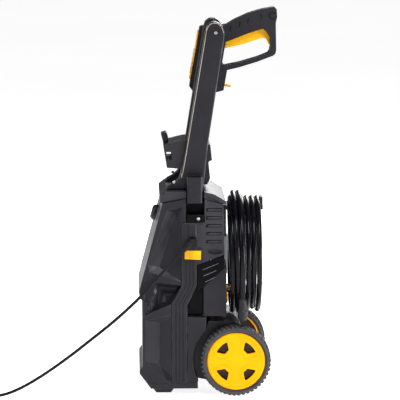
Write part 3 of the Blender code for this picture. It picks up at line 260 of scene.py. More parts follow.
# A profile of (radius, y), turned once round the Y axis; it closes on itself, or on the axis
def spun(profile, steps):
    bm = bmesh.new()
    verts = [bm.verts.new((r, y, 0)) for r, y in profile]
    edges = [bm.edges.new(pair) for pair in zip(verts, verts[1:] + verts[:1])
             if any(abs(v.co.x) > 1e-7 for v in pair)]  # no edge runs along the axis
    bmesh.ops.spin(bm, geom=verts + edges, cent=(0, 0, 0), axis=(0, 1, 0), angle=2 * pi, steps=steps,
                   use_merge=True, dvec=(0, 0, 0))
    bmesh.ops.remove_doubles(bm, verts=bm.verts, dist=1e-6)
    bmesh.ops.recalc_face_normals(bm, faces=bm.faces)
    return bm


def addTo(bm, other):
    mesh = bpy.data.meshes.new("part")
    other.to_mesh(mesh)
    other.free()
    bm.from_mesh(mesh)
    bpy.data.meshes.remove(mesh)


def markWear(bm, faces):
    layer = bm.loops.layers.float.get("wear") or bm.loops.layers.float.new("wear")
    for face in faces:
        for corner in face.loops:
            corner[layer] = 1.0


def roundEdges(bm, width, segments=2, angle=30, chosen=None):
    if not bm.loops.layers.float.get("wear"):
        bm.loops.layers.float.new("wear")
    edges = [e for e in bm.edges if len(e.link_faces) == 2 and e.calc_face_angle(0) > radians(angle)
             and (chosen is None or chosen(e))]
    if not edges:
        return
    made = bmesh.ops.bevel(bm, geom=edges, offset=width, offset_type="OFFSET", affect="EDGES",
                           segments=segments, profile=0.5, material=-1, clamp_overlap=True)
    markWear(bm, [f for f in made["faces"] if f.is_valid])


def solidOf(node):
    bm = bmesh.new()
    bm.from_mesh(cadNodes[node].data)
    bmesh.ops.remove_doubles(bm, verts=bm.verts, dist=0.03 * mm)
    bmesh.ops.dissolve_limit(bm, angle_limit=radians(1.0), verts=bm.verts, edges=bm.edges)
    return bm


def bodyOf(node):
    return next(name for name, members in frame["record"]["behaviour"]["bodies"].items() if node in members)


def slotOf(node):
    return next(part["material_slot"] for part in frame["record"]["subparts"] if part["node"] == node)


def prism(bm, outline, low, high):
    base = bm.faces.new([bm.verts.new((x, low, z)) for x, z in outline])
    made = bmesh.ops.extrude_face_region(bm, geom=[base])
    moved = [v for v in made["geom"] if isinstance(v, bmesh.types.BMVert)]
    bmesh.ops.translate(bm, verts=moved, vec=(0, high - low, 0))


def ribbon(points, width):
    left, right = [], []
    for i, point in enumerate(points):
        before, after = Vector(points[max(0, i - 1)]), Vector(points[min(len(points) - 1, i + 1)])
        along = (after - before).normalized()
        across = Vector((-along.y, along.x)) * (width / 2)
        left.append(tuple(Vector(point) + across))
        right.append(tuple(Vector(point) - across))
    return left + right[::-1]


def inMm(*points):
    return [(x * mm, z * mm) for x, z in points]


def mirrored(side, near, far):
    return sorted((side * near * mm, side * far * mm))


# Takes closed shapes away from a piece's mesh.
def carve(bm, cutter):
    bmesh.ops.recalc_face_normals(cutter, faces=cutter.faces)
    made = []
    for name, shape in (("carved", bm), ("cutter", cutter)):
        mesh = bpy.data.meshes.new(name)
        shape.to_mesh(mesh)
        obj = bpy.data.objects.new(name, mesh)
        bpy.context.scene.collection.objects.link(obj)
        made.append(obj)
    cutter.free()
    cut = made[0].modifiers.new("cut", "BOOLEAN")
    cut.operation = "DIFFERENCE"
    cut.solver = "EXACT"
    cut.object = made[1]
    shaped = made[0].evaluated_get(bpy.context.evaluated_depsgraph_get())
    result = bpy.data.meshes.new_from_object(shaped)
    bm.clear()
    bm.from_mesh(result)
    for obj in made:
        bpy.data.meshes.remove(obj.data)
    bpy.data.meshes.remove(result)


# A CAD solid with rounded edges and its marks cut; soft also rounds its shallow creases.
def refined(node, material, rounding, cutter=None, soft=0):
    bm = solidOf(node)
    if soft:
        roundEdges(bm, soft * mm, 4, 6, lambda e: e.calc_face_angle(0) < radians(52))
    roundEdges(bm, rounding * mm)
    if cutter:
        carve(bm, cutter)
    return meshPiece(bm, node + "_shell", bodyOf(node), material, slotOf(node), (node,))


# Flat plates in one piece: each is an outline of x and z between two y values.
def platePiece(name, body, material, slotName, plates, rounding=0.5, turn=None, segments=2):
    bm = bmesh.new()
    for outline, low, high in plates:
        prism(bm, outline, low, high)
    bmesh.ops.recalc_face_normals(bm, faces=bm.faces)
    if rounding:
        roundEdges(bm, rounding * mm, segments)
    if turn is not None:
        bmesh.ops.transform(bm, matrix=turn, verts=bm.verts)
    return meshPiece(bm, name, body, material, slotName)


def smoothLine(points, spacing):
    points = [Vector(p) for p in points]
    line = []
    ends = [points[0] * 2 - points[1]] + points + [points[-1] * 2 - points[-2]]
    for a, b, c, d in zip(ends, ends[1:], ends[2:], ends[3:]):
        steps = max(1, ceil((c - b).length / spacing))
        for i in range(steps):
            t = i / steps
            line.append(0.5 * (2 * b + (c - a) * t + (2 * a - 5 * b + 4 * c - d) * t * t
                               + (3 * b - a - 3 * c + d) * t ** 3))
    line.append(points[-1])
    return line


def lineLength(line):
    return sum((b - a).length for a, b in zip(line, line[1:]))


def tubeAlong(name, line, diameter, material, resolution=5):
    curve = bpy.data.curves.new(name, "CURVE")
    curve.dimensions = "3D"
    curve.bevel_depth = diameter / 2
    curve.bevel_resolution = resolution
    curve.use_fill_caps = True
    spline = curve.splines.new("POLY")
    spline.points.add(len(line) - 1)
    for point, place in zip(spline.points, line):
        point.co = (*place, 1)
    spline.use_smooth = True
    obj = bpy.data.objects.new(name, curve)
    bpy.context.scene.collection.objects.link(obj)
    curve.materials.append(material)
    return obj


# The mains lead runs from its relief down to the floor and ends in a tied coil with the plug.
lead = {"diameter": 0.007, "length": 5.2, "exit": (-0.048, -0.136, 0.348), "heading": (-0.68, -0.02, -0.73),
        "coilX": -0.590, "sideY": -0.140, "coilRadius": 0.043, "pitch": 0.0072, "layers": 4,
        "turnsInLayer": 4, "steps": 16, "climbFrom": 0.94, "spacing": 0.006}


def leadLine():
    heading = Vector(lead["heading"]).normalized()
    start = Vector(lead["exit"]) - heading * 0.008 + heading * 0.0343
    floor = lead["diameter"] / 2 + 0.0003
    sideY = lead["sideY"]
    route = [start, start + heading * 0.012, (-0.104, -0.137, 0.289), (-0.136, -0.138, 0.255),
             (-0.161, -0.138, 0.227), (-0.188, -0.138, 0.201), (-0.215, -0.139, 0.177),
             (-0.244, -0.139, 0.153), (-0.273, -0.139, 0.130), (-0.310, sideY, 0.101),
             (-0.348, sideY, 0.073), (-0.388, sideY, 0.046), (-0.428, sideY, 0.023),
             (-0.462, sideY, 0.009), (-0.490, sideY, floor + 0.0004), (-0.516, sideY, floor),
             (-0.5465, sideY - 0.002, floor)]
    centre = Vector((lead["coilX"], sideY + lead["coilRadius"], 0))
    pitch = lead["pitch"]
    turns = lead["turnsInLayer"]
    outer = lead["coilRadius"] + 1.5 * pitch
    steps = lead["steps"]
    for layer in range(lead["layers"]):
        for step in range(turns * steps):
            t = step / (turns * steps)
            inward = t if layer % 2 == 0 else 1 - t
            radius = outer - inward * (turns - 1) * pitch
            climb = max(0.0, (t - lead["climbFrom"]) / 0.06)
            lift = min(1.0, climb) if layer < lead["layers"] - 1 else 0
            angle = -pi / 2 - 2 * pi * step / steps
            height = floor + (layer + lift * 0.5) * pitch
            route.append(centre + Vector((radius * cos(angle), radius * sin(angle), height)))
    top = floor + (lead["layers"] - 1) * pitch
    for degree in (-90, -126, -162, -198, -234, -256):
        angle = radians(degree)
        drop = (degree + 90) / -166
        route.append(centre + Vector((outer * cos(angle), outer * sin(angle), top - drop * 0.004)))
    plugY = centre.y + lead["coilRadius"]
    plugX = lead["coilX"] + 0.0438
    route += [(lead["coilX"] + 0.026, centre.y + 0.0475, 0.0202), (plugX, plugY, 0.0193)]
    return smoothLine(route, lead["spacing"])


def makeLead():
    line = leadLine()
    print("lead length", round(lineLength(line), 3))
    tube = tubeAlong("mains_lead", line, lead["diameter"], leadJacket)
    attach(tube, "washer")
    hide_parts("mains_cord", "mains_coil")
    return tube, line


# The hose runs from the outlet to the back of the coil, round its turns, and hangs down at the near side.
hose = {"diameter": 0.012, "length": 6.4, "centreZ": 0.310, "inner": 0.1245, "outer": 0.1365, "first": 0.1285,
        "rearX": 0.112, "pitch": 0.0123, "drops": (0.009, 0.003, 0.010, 0.002, 0.001), "outletX": 0.0563,
        "outletY": 0.020, "outletZ": 0.220, "sideX": 0.1245, "startAngle": 105, "steps": 24, "endX": 0.074,
        "endY": -0.127, "endZ": 0.222, "spacing": 0.008}


# (x, radius) of the hung turns at each half turn: even entries at the top, odd ones at the bottom
def hoseTurns():
    inner, outer = hose["inner"], hose["outer"]
    places = []
    for n, drop in enumerate(hose["drops"]):
        x = hose["rearX"] - n * hose["pitch"]
        places.append((x, inner))
        places.append((x - hose["pitch"] / 2 + 0.007, inner + drop))
    places += [(0.0505, inner), (0.0545, outer - 0.001), (0.0567, outer), (0.0690, outer), (0.0690, outer)]
    return places


def hoseLine():
    y, z, x = hose["outletY"], hose["outletZ"], hose["outletX"]
    side = hose["sideX"]
    route = [Vector(p) for p in (
        (x, y, z), (x + 0.018, y, z), (side - 0.024, y + 0.0064, z), (side - 0.0064, y + 0.024, z),
        (side, y + 0.048, z), (side, y + 0.0644, z + 0.0029), (side, y + 0.0789, z + 0.0112),
        (side, y + 0.0896, z + 0.024))]
    places = hoseTurns()
    steps = hose["steps"]
    startAngle = hose["startAngle"]
    centreZ = hose["centreZ"]
    firstX, firstR = side, hose["first"]
    for degree in range(startAngle, 0, -15):
        t = 1 - degree / startAngle
        ease = t * t * (3 - 2 * t)
        px = firstX + (places[0][0] - firstX) * ease
        radius = firstR + (places[0][1] - firstR) * ease
        route.append(Vector((px, radius * sin(radians(degree)), centreZ + radius * cos(radians(degree)))))
    for half in range(len(places) - 1):
        for step in range(steps // 2):
            t = step / (steps // 2)
            ease = t * t * (3 - 2 * t)
            px = places[half][0] + (places[half + 1][0] - places[half][0]) * ease
            radius = places[half][1] + (places[half + 1][1] - places[half][1]) * ease
            angle = -(pi * half + pi * t)
            route.append(Vector((px, radius * sin(angle), centreZ + radius * cos(angle))))
    px, radius = places[-1]
    for degree in (0, 15, 30, 45, 60, 75):
        t = degree / 90
        route.append(Vector((px + (hose["endX"] - px) * t, -radius * sin(radians(degree)) - 0.001 * t,
                             centreZ + radius * cos(radians(degree)))))
    route += [Vector((hose["endX"], -0.1375, 0.308)), Vector((hose["endX"], -0.1360, 0.278)),
              Vector((hose["endX"], -0.1305, 0.248)), Vector((hose["endX"], hose["endY"], hose["endZ"]))]
    return smoothLine(route, hose["spacing"])


def makeHose():
    line = hoseLine()
    print("hose length", round(lineLength(line), 3))
    tube = tubeAlong("pressure_hose", line, hose["diameter"], hoseJacket, 6)
    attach(tube, "washer")
    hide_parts("hose_lead", "hose_coil")
    return tube, line


mainsLead, leadPath = makeLead()
pressureHose, hosePath = makeHose()
print("cords laid")


# Cuts in the covers
column = {"front": (-87, -64), "knee": (210, 252), "low": 31, "high": 341, "grooves": (10, 18.5, 26),
          "face": 122, "depth": 2.0, "width": 2.2}


def columnCuts(side):
    bm = bmesh.new()
    low, high = mirrored(side, column["face"] - column["depth"], column["face"] + 3)
    for offset in column["grooves"]:
        bottom, top = (x + offset for x in column["front"])
        path = inMm((bottom, column["low"]), (bottom, column["knee"][0]), (top, column["knee"][1]),
                    (top, column["high"]))
        prism(bm, ribbon(path, column["width"] * mm), low, high)
    return bm


scoop = {"x": 11.5, "z": 329.5, "y": 119, "size": (18.5, 10.0, 7.2)}
rearSlots = {"first": 340, "pitch": 15, "count": 6, "height": 5, "inner": 48, "outer": 102, "depth": 1.6,
             "face": 33, "past": 36}


def upperRearCuts():
    bm = bmesh.new()
    for side in (-1, 1):
        place = Matrix.Translation((scoop["x"] * mm, side * scoop["y"] * mm, scoop["z"] * mm))
        size = Matrix.Diagonal((*[v * mm for v in scoop["size"]], 1))
        bmesh.ops.create_uvsphere(bm, u_segments=32, v_segments=16, radius=1, matrix=place @ size)
        low, high = mirrored(side, rearSlots["inner"], rearSlots["outer"])
        for row in range(rearSlots["count"]):
            z = rearSlots["first"] + row * rearSlots["pitch"]
            x = rearSlots["face"] - rearSlots["depth"] - max(0, (z - 350) * 0.02)
            past, top = rearSlots["past"], z + rearSlots["height"]
            prism(bm, inMm((x, z), (past, z), (past, top), (x, top)), low, high)
    return bm


topSlot = {"ends": ((-6, 455), (19, 443.5)), "width": 2.4, "depth": (111.3, 115)}


def topCoverCuts():
    bm = bmesh.new()
    for side in (-1, 1):
        low, high = mirrored(side, *topSlot["depth"])
        prism(bm, ribbon(inMm(*topSlot["ends"]), topSlot["width"] * mm), low, high)
    return bm


# The gun is drawn upright, then leaned and moved into its holster.
gunPlace = Matrix.Translation((-0.003, 0.10405, 0.669)) @ Matrix.Rotation(radians(9), 4, "Y")
gunMarks = {"slots": ((32, 157), (51, 169), (69, 180), (98, 195)), "slotSize": (2.9, 3.4, 9.0),
            "slotLean": 4, "button": (124, 201), "ring": (7.2, 8.6), "half": 18}


def gunCuts(side):
    bm = bmesh.new()
    for x, z in gunMarks["slots"]:
        place = Matrix.Translation((x * mm, side * (gunMarks["half"] + 0.8) * mm, z * mm))
        size = Matrix.Diagonal((*[v * mm for v in gunMarks["slotSize"]], 1))
        lean = Matrix.Rotation(radians(gunMarks["slotLean"]), 4, "Y")
        bmesh.ops.create_uvsphere(bm, u_segments=20, v_segments=14, radius=1, matrix=place @ lean @ size)
    inner, outer = (r * mm for r in gunMarks["ring"])
    low, high = mirrored(side, gunMarks["half"] - 1.0, gunMarks["half"] + 2)
    ring = spun([(inner, low), (outer, low), (outer, high), (inner, high)], 32)
    x, z = gunMarks["button"]
    bmesh.ops.translate(ring, verts=ring.verts, vec=(x * mm, 0, z * mm))
    addTo(bm, ring)
    bmesh.ops.transform(bm, matrix=gunPlace, verts=bm.verts)
    return bm


# Covers, columns, handle and gun: material, rounding in mm, cuts, and the rounding of shallow creases
shells = {
    "base_tray": (blackPlastic, 1.0), "lower_rear_housing": (blackPlastic, 1.2),
    "axle_carrier": (blackPlastic, 1.2), "middle_cover": (blackPlastic, 1.4, None, 3),
    "lower_front_cover": (blackPlastic, 2.0, None, 4), "upper_front_cover": (blackPlastic, 2.0, None, 4),
    "vent_band": (glossPlastic, 1.2), "pump_cover": (blackPlastic, 1.0),
    "top_cover": (greyPlastic, 1.4, topCoverCuts()),
    "side_column_left": (blackPlastic, 1.6, columnCuts(-1)),
    "side_column_right": (blackPlastic, 1.6, columnCuts(1)),
    "holster_sleeve_left": (blackPlastic, 1.2), "holster_sleeve_right": (blackPlastic, 1.2),
    "holster_cup_left": (glossPlastic, 1.0), "holster_cup_right": (glossPlastic, 1.0),
    "handle_rail_left": (blackPlastic, 3.0), "handle_rail_right": (blackPlastic, 3.0),
    "handle_grip": (greyPlastic, 1.0), "cord_hook": (greyPlastic, 1.5),
    "cord_hook_finger": (blackPlastic, 0.8), "nozzle_rack": (blackPlastic, 1.2),
    "hose_hook": (blackPlastic, 1.0), "switch_knob": (blackPlastic, 0.7), "gland_cover": (blackPlastic, 0.5),
    "gun_trim": (yellowPlastic, 0.5), "trigger": (triggerPlastic, 1.6), "lock_button": (blackPlastic, 0.8),
    "lance": (blackPlastic, 0.8), "nozzle": (yellowPlastic, 0.8), "water_inlet": (yellowPlastic, 0.8),
    "hose_connector": (blackPlastic, 0.8), "foot_left": (footRubber, 1.2), "foot_right": (footRubber, 1.2),
    "gun_casing_left": (blackPlastic, 2.6, gunCuts(-1)), "gun_casing_right": (blackPlastic, 2.6, gunCuts(1)),
    "upper_rear_cover": (greyPlastic, 0.9, upperRearCuts()),
    "mains_plug": (leadJacket, 0.6), "strain_relief": (leadJacket, 0.6),
}
madeShells = {node: refined(node, *values) for node, values in shells.items()}

# Works inside the covers, shown as the CAD has them
keptNodes = {
    # The inner frame takes the near-black frame alloy: painted shade for the side window.
    "inner_frame": frameAlloyPaintedShade, "axle": zincSteel, "switch_box": glossPlastic, "motor_can": zincSteel,
    "rotor": copper, "cooling_fan": blackPlastic, "swash_plate": zincSteel, "pump_housing": castAlloy,
    "pump_head": brass, "piston_1": zincSteel, "piston_2": zincSteel, "piston_3": zincSteel,
    "pressure_outlet": brass, "gun_inlet": brass,
}
for node, material in keptNodes.items():
    mesh = cadNodes[node].data
    mesh.materials.clear()
    mesh.materials.append(material)
print("shells rounded")


# Behind the openings: baffles with the louvres' blades, and a gloss-black liner in the side window, a dark
# sheet that paints the shade inside the window
louvre = {"front": -9, "back": 27, "top": 425, "pitch": 18.2, "count": 5, "blade": 2.3, "point": 7,
          "plate": (108, 109.4), "lip": 115.4,
          "board": ((-11.4, 316), (29.4, 322), (29.4, 433), (-11.4, 433))}


def makeLouvres(label, side):
    low, high = mirrored(side, *louvre["plate"])
    plates = [(inMm(*louvre["board"]), low, high)]
    low, high = mirrored(side, louvre["plate"][0], louvre["lip"])
    front, back, half = louvre["front"] + 1.6, louvre["back"] - 1.2, louvre["blade"]
    wide = front + louvre["point"]
    for row in range(louvre["count"]):
        z = louvre["top"] - row * louvre["pitch"]
        blade = [(front, z), (wide, z - half), (back, z - half), (back, z + half), (wide, z + half)]
        plates.append((inMm(*blade), low, high))
    platePiece("louvre_blades_" + label, "washer", greyPlastic, "dark_grey_plastic", plates, 0.6)


liner = {"back": ((-61, 182), (-14.6, 182), (-14.6, 292), (-31, 292), (-61, 262)), "backDepth": (98.6, 101.2),
         "pad": ((-47, 199), (-44, 194), (-20, 194), (-17, 197), (-17, 238), (-22, 243), (-40, 243),
                 (-47, 230)),
         "padDepth": (100.5, 105.4)}


# The liner's gloss-black plates are painted shade: they make the side window read dark.
def makeShadeLiner(label, side):
    plates = [(inMm(*liner[part]), *mirrored(side, *liner[part + "Depth"])) for part in ("back", "pad")]
    platePiece("window_shade_liner_" + label, "washer", glossPlastic, "gloss_black_plastic", plates, 1.2,
               segments=3)


# Light-grey teeth along the vent band's slots: painted highlights on the slot lips.
ventTeeth = {"lines": ((-16, 288, 21, 303), (-14, 274, 17, 287), (-11, 260, 13, 271)), "step": 2.6,
             "size": (1.8, 1.1), "depth": (116.6, 118.2)}


def makeVentTeeth(label, side):
    low, high = mirrored(side, *ventTeeth["depth"])
    plates = []
    for x0, z0, x1, z1 in ventTeeth["lines"]:
        start, end = Vector((x0, z0)), Vector((x1, z1))
        along = (end - start).normalized()
        up = Vector((-along.y, along.x)) * ventTeeth["size"][1] / 2
        for i in range(int((end - start).length / ventTeeth["step"])):
            a = start + along * i * ventTeeth["step"]
            b = a + along * ventTeeth["size"][0]
            plates.append((inMm(*[tuple(p) for p in (a - up, b - up, b + up, a + up)]), low, high))
    platePiece("vent_highlight_teeth_" + label, "washer", ventHighlightPaint, "dark_grey_plastic", plates, 0.2, segments=1)


# A parting-line bead follows each rail's front edge and its rounded top; its light colour is a painted
# highlight on that edge.
rail = {"foot": (-60.8, 510), "frontTop": (-10.7, 821), "top": 845, "inset": 2.6, "y": 83.9, "bead": 0.0017}


def makeRailSeam(label, side):
    inset, (x0, z0), (x1, z1), top = rail["inset"], rail["foot"], rail["frontTop"], rail["top"]
    path = [(x0 - 6 + inset, z0 - 6), (x0 + inset + 0.4, z0 + 8), (x1 + inset - 0.4, z1 - 6),
            (x1 + inset + 0.3, z1 + 2), (x1 + 5 + inset, top - 9.5), (x1 + 15, top - inset),
            (x1 + 29, top - inset), (x1 + 38, top - 11), (x1 + 42.6, top - 24)]
    points = [(x * mm, side * rail["y"] * mm, z * mm) for x, z in path]
    bead = tubeAlong("rail_seam_highlight_" + label, smoothLine(points, 0.004), rail["bead"], seamHighlightPaint, 3)
    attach(bead, "washer")


sideLabel = {"plate": (0.2, 0.45), "face": 122,
             "film": ((-57, 333.2), (-57.3, 313.6), (-20.6, 311.8), (-20, 332.4)),
             "pad": ((-29.6, 306), (-17, 308), (-17, 336), (-29.6, 338)), "padBack": 115}


def makeLabel():
    face = sideLabel["face"]
    low, high = mirrored(-1, *(face + t for t in sideLabel["plate"]))
    film = inMm(*sideLabel["film"])
    platePiece("side_label", "washer", labelFilm, "yellow_plastic", [(film, low, high)], 0.1, segments=1)
    low, high = mirrored(-1, sideLabel["padBack"], face)
    pad = inMm(*sideLabel["pad"])
    platePiece("label_pad", "washer", blackPlastic, "black_plastic", [(pad, low, high)], 1.2)


gunTrim = {"label": ((-44.0, 38), (-43.2, 38), (-42.3, 97), (-43.1, 97)), "labelHalf": 9, "pin": (30, 117),
           "pinRadius": 1.8, "pinLength": 36.6}


def makeGunTrim():
    half = gunTrim["labelHalf"] * mm
    platePiece("gun_label", "gun", paleFilm, "yellow_plastic", [(inMm(*gunTrim["label"]), -half, half)], 0.15,
               gunPlace, 1)
    bm = bmesh.new()
    x, z = gunTrim["pin"]
    radius = gunTrim["pinRadius"] * mm
    turn = Matrix.Translation((x * mm, 0, z * mm)) @ Matrix.Rotation(radians(90), 4, "X")
    bmesh.ops.create_cone(bm, cap_ends=True, segments=24, radius1=radius, radius2=radius,
                          depth=gunTrim["pinLength"] * mm, matrix=gunPlace @ turn)
    roundEdges(bm, 0.3 * mm, 1)
    meshPiece(bm, "trigger_pin", "gun", zincSteel, "zinc_steel")


for name, side in (("left", -1), ("right", 1)):
    makeLouvres(name, side)
    makeShadeLiner(name, side)
    makeVentTeeth(name, side)
    makeRailSeam(name, side)
makeLabel()
makeGunTrim()
rearRail = {"outline": ((34.4, 262), (43.6, 262), (43.6, 351), (34.4, 351)), "half": 16}
strip = (inMm(*rearRail["outline"]), -rearRail["half"] * mm, rearRail["half"] * mm)
platePiece("rear_rail", "washer", palePlastic, "dark_grey_plastic", [strip], 1.2)
print("small parts made")


# Pan-head screws with a cross recess
screw = {"radius": 3.6, "height": 1.9, "slot": 1.0, "turned": 7,
         "gun": ((-20, 132), (-20, 30), (26, 40), (60, 184), (136, 125), (124, 180)), "gunFace": 18.1}


def screwHead():
    radius, height, slot = (screw[k] * mm for k in ("radius", "height", "slot"))
    bm = spun([(0, 0), (radius, 0), (radius, height * 0.55), (radius * 0.75, height), (0, height)], 24)
    for turn in (screw["turned"], screw["turned"] + 90):
        tool = bmesh.new()
        place = Matrix.Translation((0, height, 0)) @ Matrix.Rotation(radians(turn), 4, "Y")
        bmesh.ops.create_cube(tool, size=1, matrix=place @ Matrix.Diagonal((radius * 1.2, height, slot, 1)))
        carve(bm, tool)
    return bm


def makeScrews(name, body, places, turn=None):
    head = screwHead()
    whole = bmesh.new()
    for place, facing in places:
        copy = head.copy()
        aim = Vector(facing).to_track_quat("Y", "Z").to_matrix().to_4x4()
        bmesh.ops.transform(copy, matrix=Matrix.Translation([v * mm for v in place]) @ aim, verts=copy.verts)
        addTo(whole, copy)
    head.free()
    if turn is not None:
        bmesh.ops.transform(whole, matrix=turn, verts=whole.verts)
    return meshPiece(whole, name, body, zincSteel, "zinc_steel", sharpAngle=30)


makeScrews("body_screws", "washer", [
    *[((38.1, side * 98, z), (1, 0, 0)) for side in (-1, 1) for z in (192, 246)],
    *[((-80, side * 84.1, 484), (0, side, 0)) for side in (-1, 1)],
    *[((14, side * 84.1, 822), (0, side, 0)) for side in (-1, 1)],
    *[((-26, side * 122.1, 405.5), (0, side, 0)) for side in (-1, 1)],
])
makeScrews("gun_screws", "gun", [((x, screw["gunFace"], z), (0, 1, 0)) for x, z in screw["gun"]], gunPlace)


# Ring and marks round the switch
switch = {"place": (-0.117356, 0, 0.401), "axis": (-0.966516, 0, 0.256646), "ring": (20.5, 24.5),
          "marks": (-60, 0, 60), "markRadius": 28.5, "markSize": (1.6, 1.2, 4), "sunk": 0.5, "raised": 1.2}


def makeSwitchRing():
    inner, outer = (r * mm for r in switch["ring"])
    low, high, slope = -switch["sunk"] * mm, switch["raised"] * mm, 0.6 * mm
    bm = spun([(inner, low), (outer, low), (outer - slope, high), (inner + slope, high)], 48)
    size = Matrix.Diagonal((*[v * mm for v in switch["markSize"]], 1))
    for degree in switch["marks"]:
        out = Matrix.Translation((0, 0, switch["markRadius"] * mm))
        bmesh.ops.create_cube(bm, size=1, matrix=Matrix.Rotation(radians(degree), 4, "Y") @ out @ size)
    aim = Vector(switch["axis"]).to_track_quat("Y", "Z").to_matrix().to_4x4()
    bmesh.ops.transform(bm, matrix=Matrix.Translation(switch["place"]) @ aim, verts=bm.verts)
    meshPiece(bm, "switch_ring", "washer", palePlastic, "dark_grey_plastic")


makeSwitchRing()


# Tie round the stored lead
tie = {"radius": 0.0011, "angle": 60, "reach": 0.0172, "low": 0.0014, "high": 0.0312, "corner": 0.005}


def makeTie():
    middle = Vector((lead["coilX"], lead["sideY"] + lead["coilRadius"], 0))
    out = Vector((cos(radians(tie["angle"])), sin(radians(tie["angle"])), 0))
    reach, low, high, corner = tie["reach"], tie["low"], tie["high"], tie["corner"]
    loop = [(reach, low + corner), (reach, high - corner), (reach - corner, high), (corner - reach, high),
            (-reach, high - corner), (-reach, low + corner), (corner - reach, low), (reach - corner, low)]
    points = [middle + out * (lead["coilRadius"] + r) + Vector((0, 0, z)) for r, z in loop + loop[:2]]
    band = tubeAlong("lead_tie", smoothLine(points, 0.002), tie["radius"] * 2, leadJacket, 3)
    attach(band, "washer")


makeTie()
print("screws, ring and tie made")


# Wheels: a lugged tyre, a yellow hub with four openings, and a dark web behind them
wheel = {"x": 0.059, "z": 0.080, "tread": 0.0797, "rim": 0.0660, "inner": 0.102, "outer": 0.140, "lugs": 46,
         "lug": (0.0030, 0.62), "lugSunk": 0.0038, "lugEdge": 0.0008, "lean": 18, "face": 0.138,
         "plate": 0.0055}
hubOpening = {"outer": (49.5, 20.5), "inner": (30, 12), "corner": 0.0030, "rim": 0.0008}
hubLine = {"points": ((56, 25), (42, 30), (30, 33), (23, 22), (20.5, 0)), "width": 1.1, "depth": 0.7}


hubWeb = ((0.0063, 0.1040), (0.0160, 0.1040), (0.0175, 0.1060), (0.0175, 0.1200), (0.0600, 0.1235),
          (0.0622, 0.1225), (0.0622, 0.1255), (0.0175, 0.1265), (0.0063, 0.1265))


def polar(radius, degree):
    return (radius * cos(radians(degree)), radius * sin(radians(degree)))


def makeTyre(label, side):
    mid = side * (wheel["inner"] + wheel["outer"]) / 2
    half = (wheel["outer"] - wheel["inner"]) / 2
    height, share = wheel["lug"]
    tread, rim = wheel["tread"] - height, wheel["rim"] + 0.0002
    walls = [(rim, 0.004), (rim + 0.0012, 0.0030), (rim + 0.0030, 0.0028), (rim + 0.0038, 0.0006),
             (rim + 0.0056, 0.0), (rim + 0.0074, 0.0004), (rim + 0.0084, 0.0016),
             (tread - 0.0020, 0.0018), (tread - 0.0004, 0.0034), (tread, 0.0050)]
    profile = [(r, y - half) for r, y in walls] + [(r, half - y) for r, y in reversed(walls)]
    bm = spun(profile, 96)
    width = 2 * pi * wheel["tread"] / wheel["lugs"] * share
    for row, (low, high) in enumerate(((-half + 0.0016, -0.0010), (0.0010, half - 0.0016))):
        for lug in range(wheel["lugs"]):
            turn = 2 * pi * (lug + row * 0.5) / wheel["lugs"]
            place = (Matrix.Rotation(turn, 4, "Y")
                     @ Matrix.Translation((tread + height / 2 - 0.0020, (low + high) / 2, 0))
                     @ Matrix.Rotation(radians(wheel["lean"] * (1 if row else -1)), 4, "X")
                     @ Matrix.Diagonal((height + wheel["lugSunk"], (high - low) * 0.93, width, 1)))
            made = bmesh.ops.create_cube(bm, size=1.0, matrix=place)
            edges = list({e for v in made["verts"] for e in v.link_edges})
            bmesh.ops.bevel(bm, geom=edges, offset=wheel["lugEdge"], affect="EDGES", segments=1, profile=0.5,
                            material=-1)
    bmesh.ops.translate(bm, verts=bm.verts, vec=(wheel["x"], mid, wheel["z"]))
    meshPiece(bm, "tyre_tread_" + label, "wheel_" + label, tyreRubber, "tyre_rubber", ("tyre_" + label,), 30)


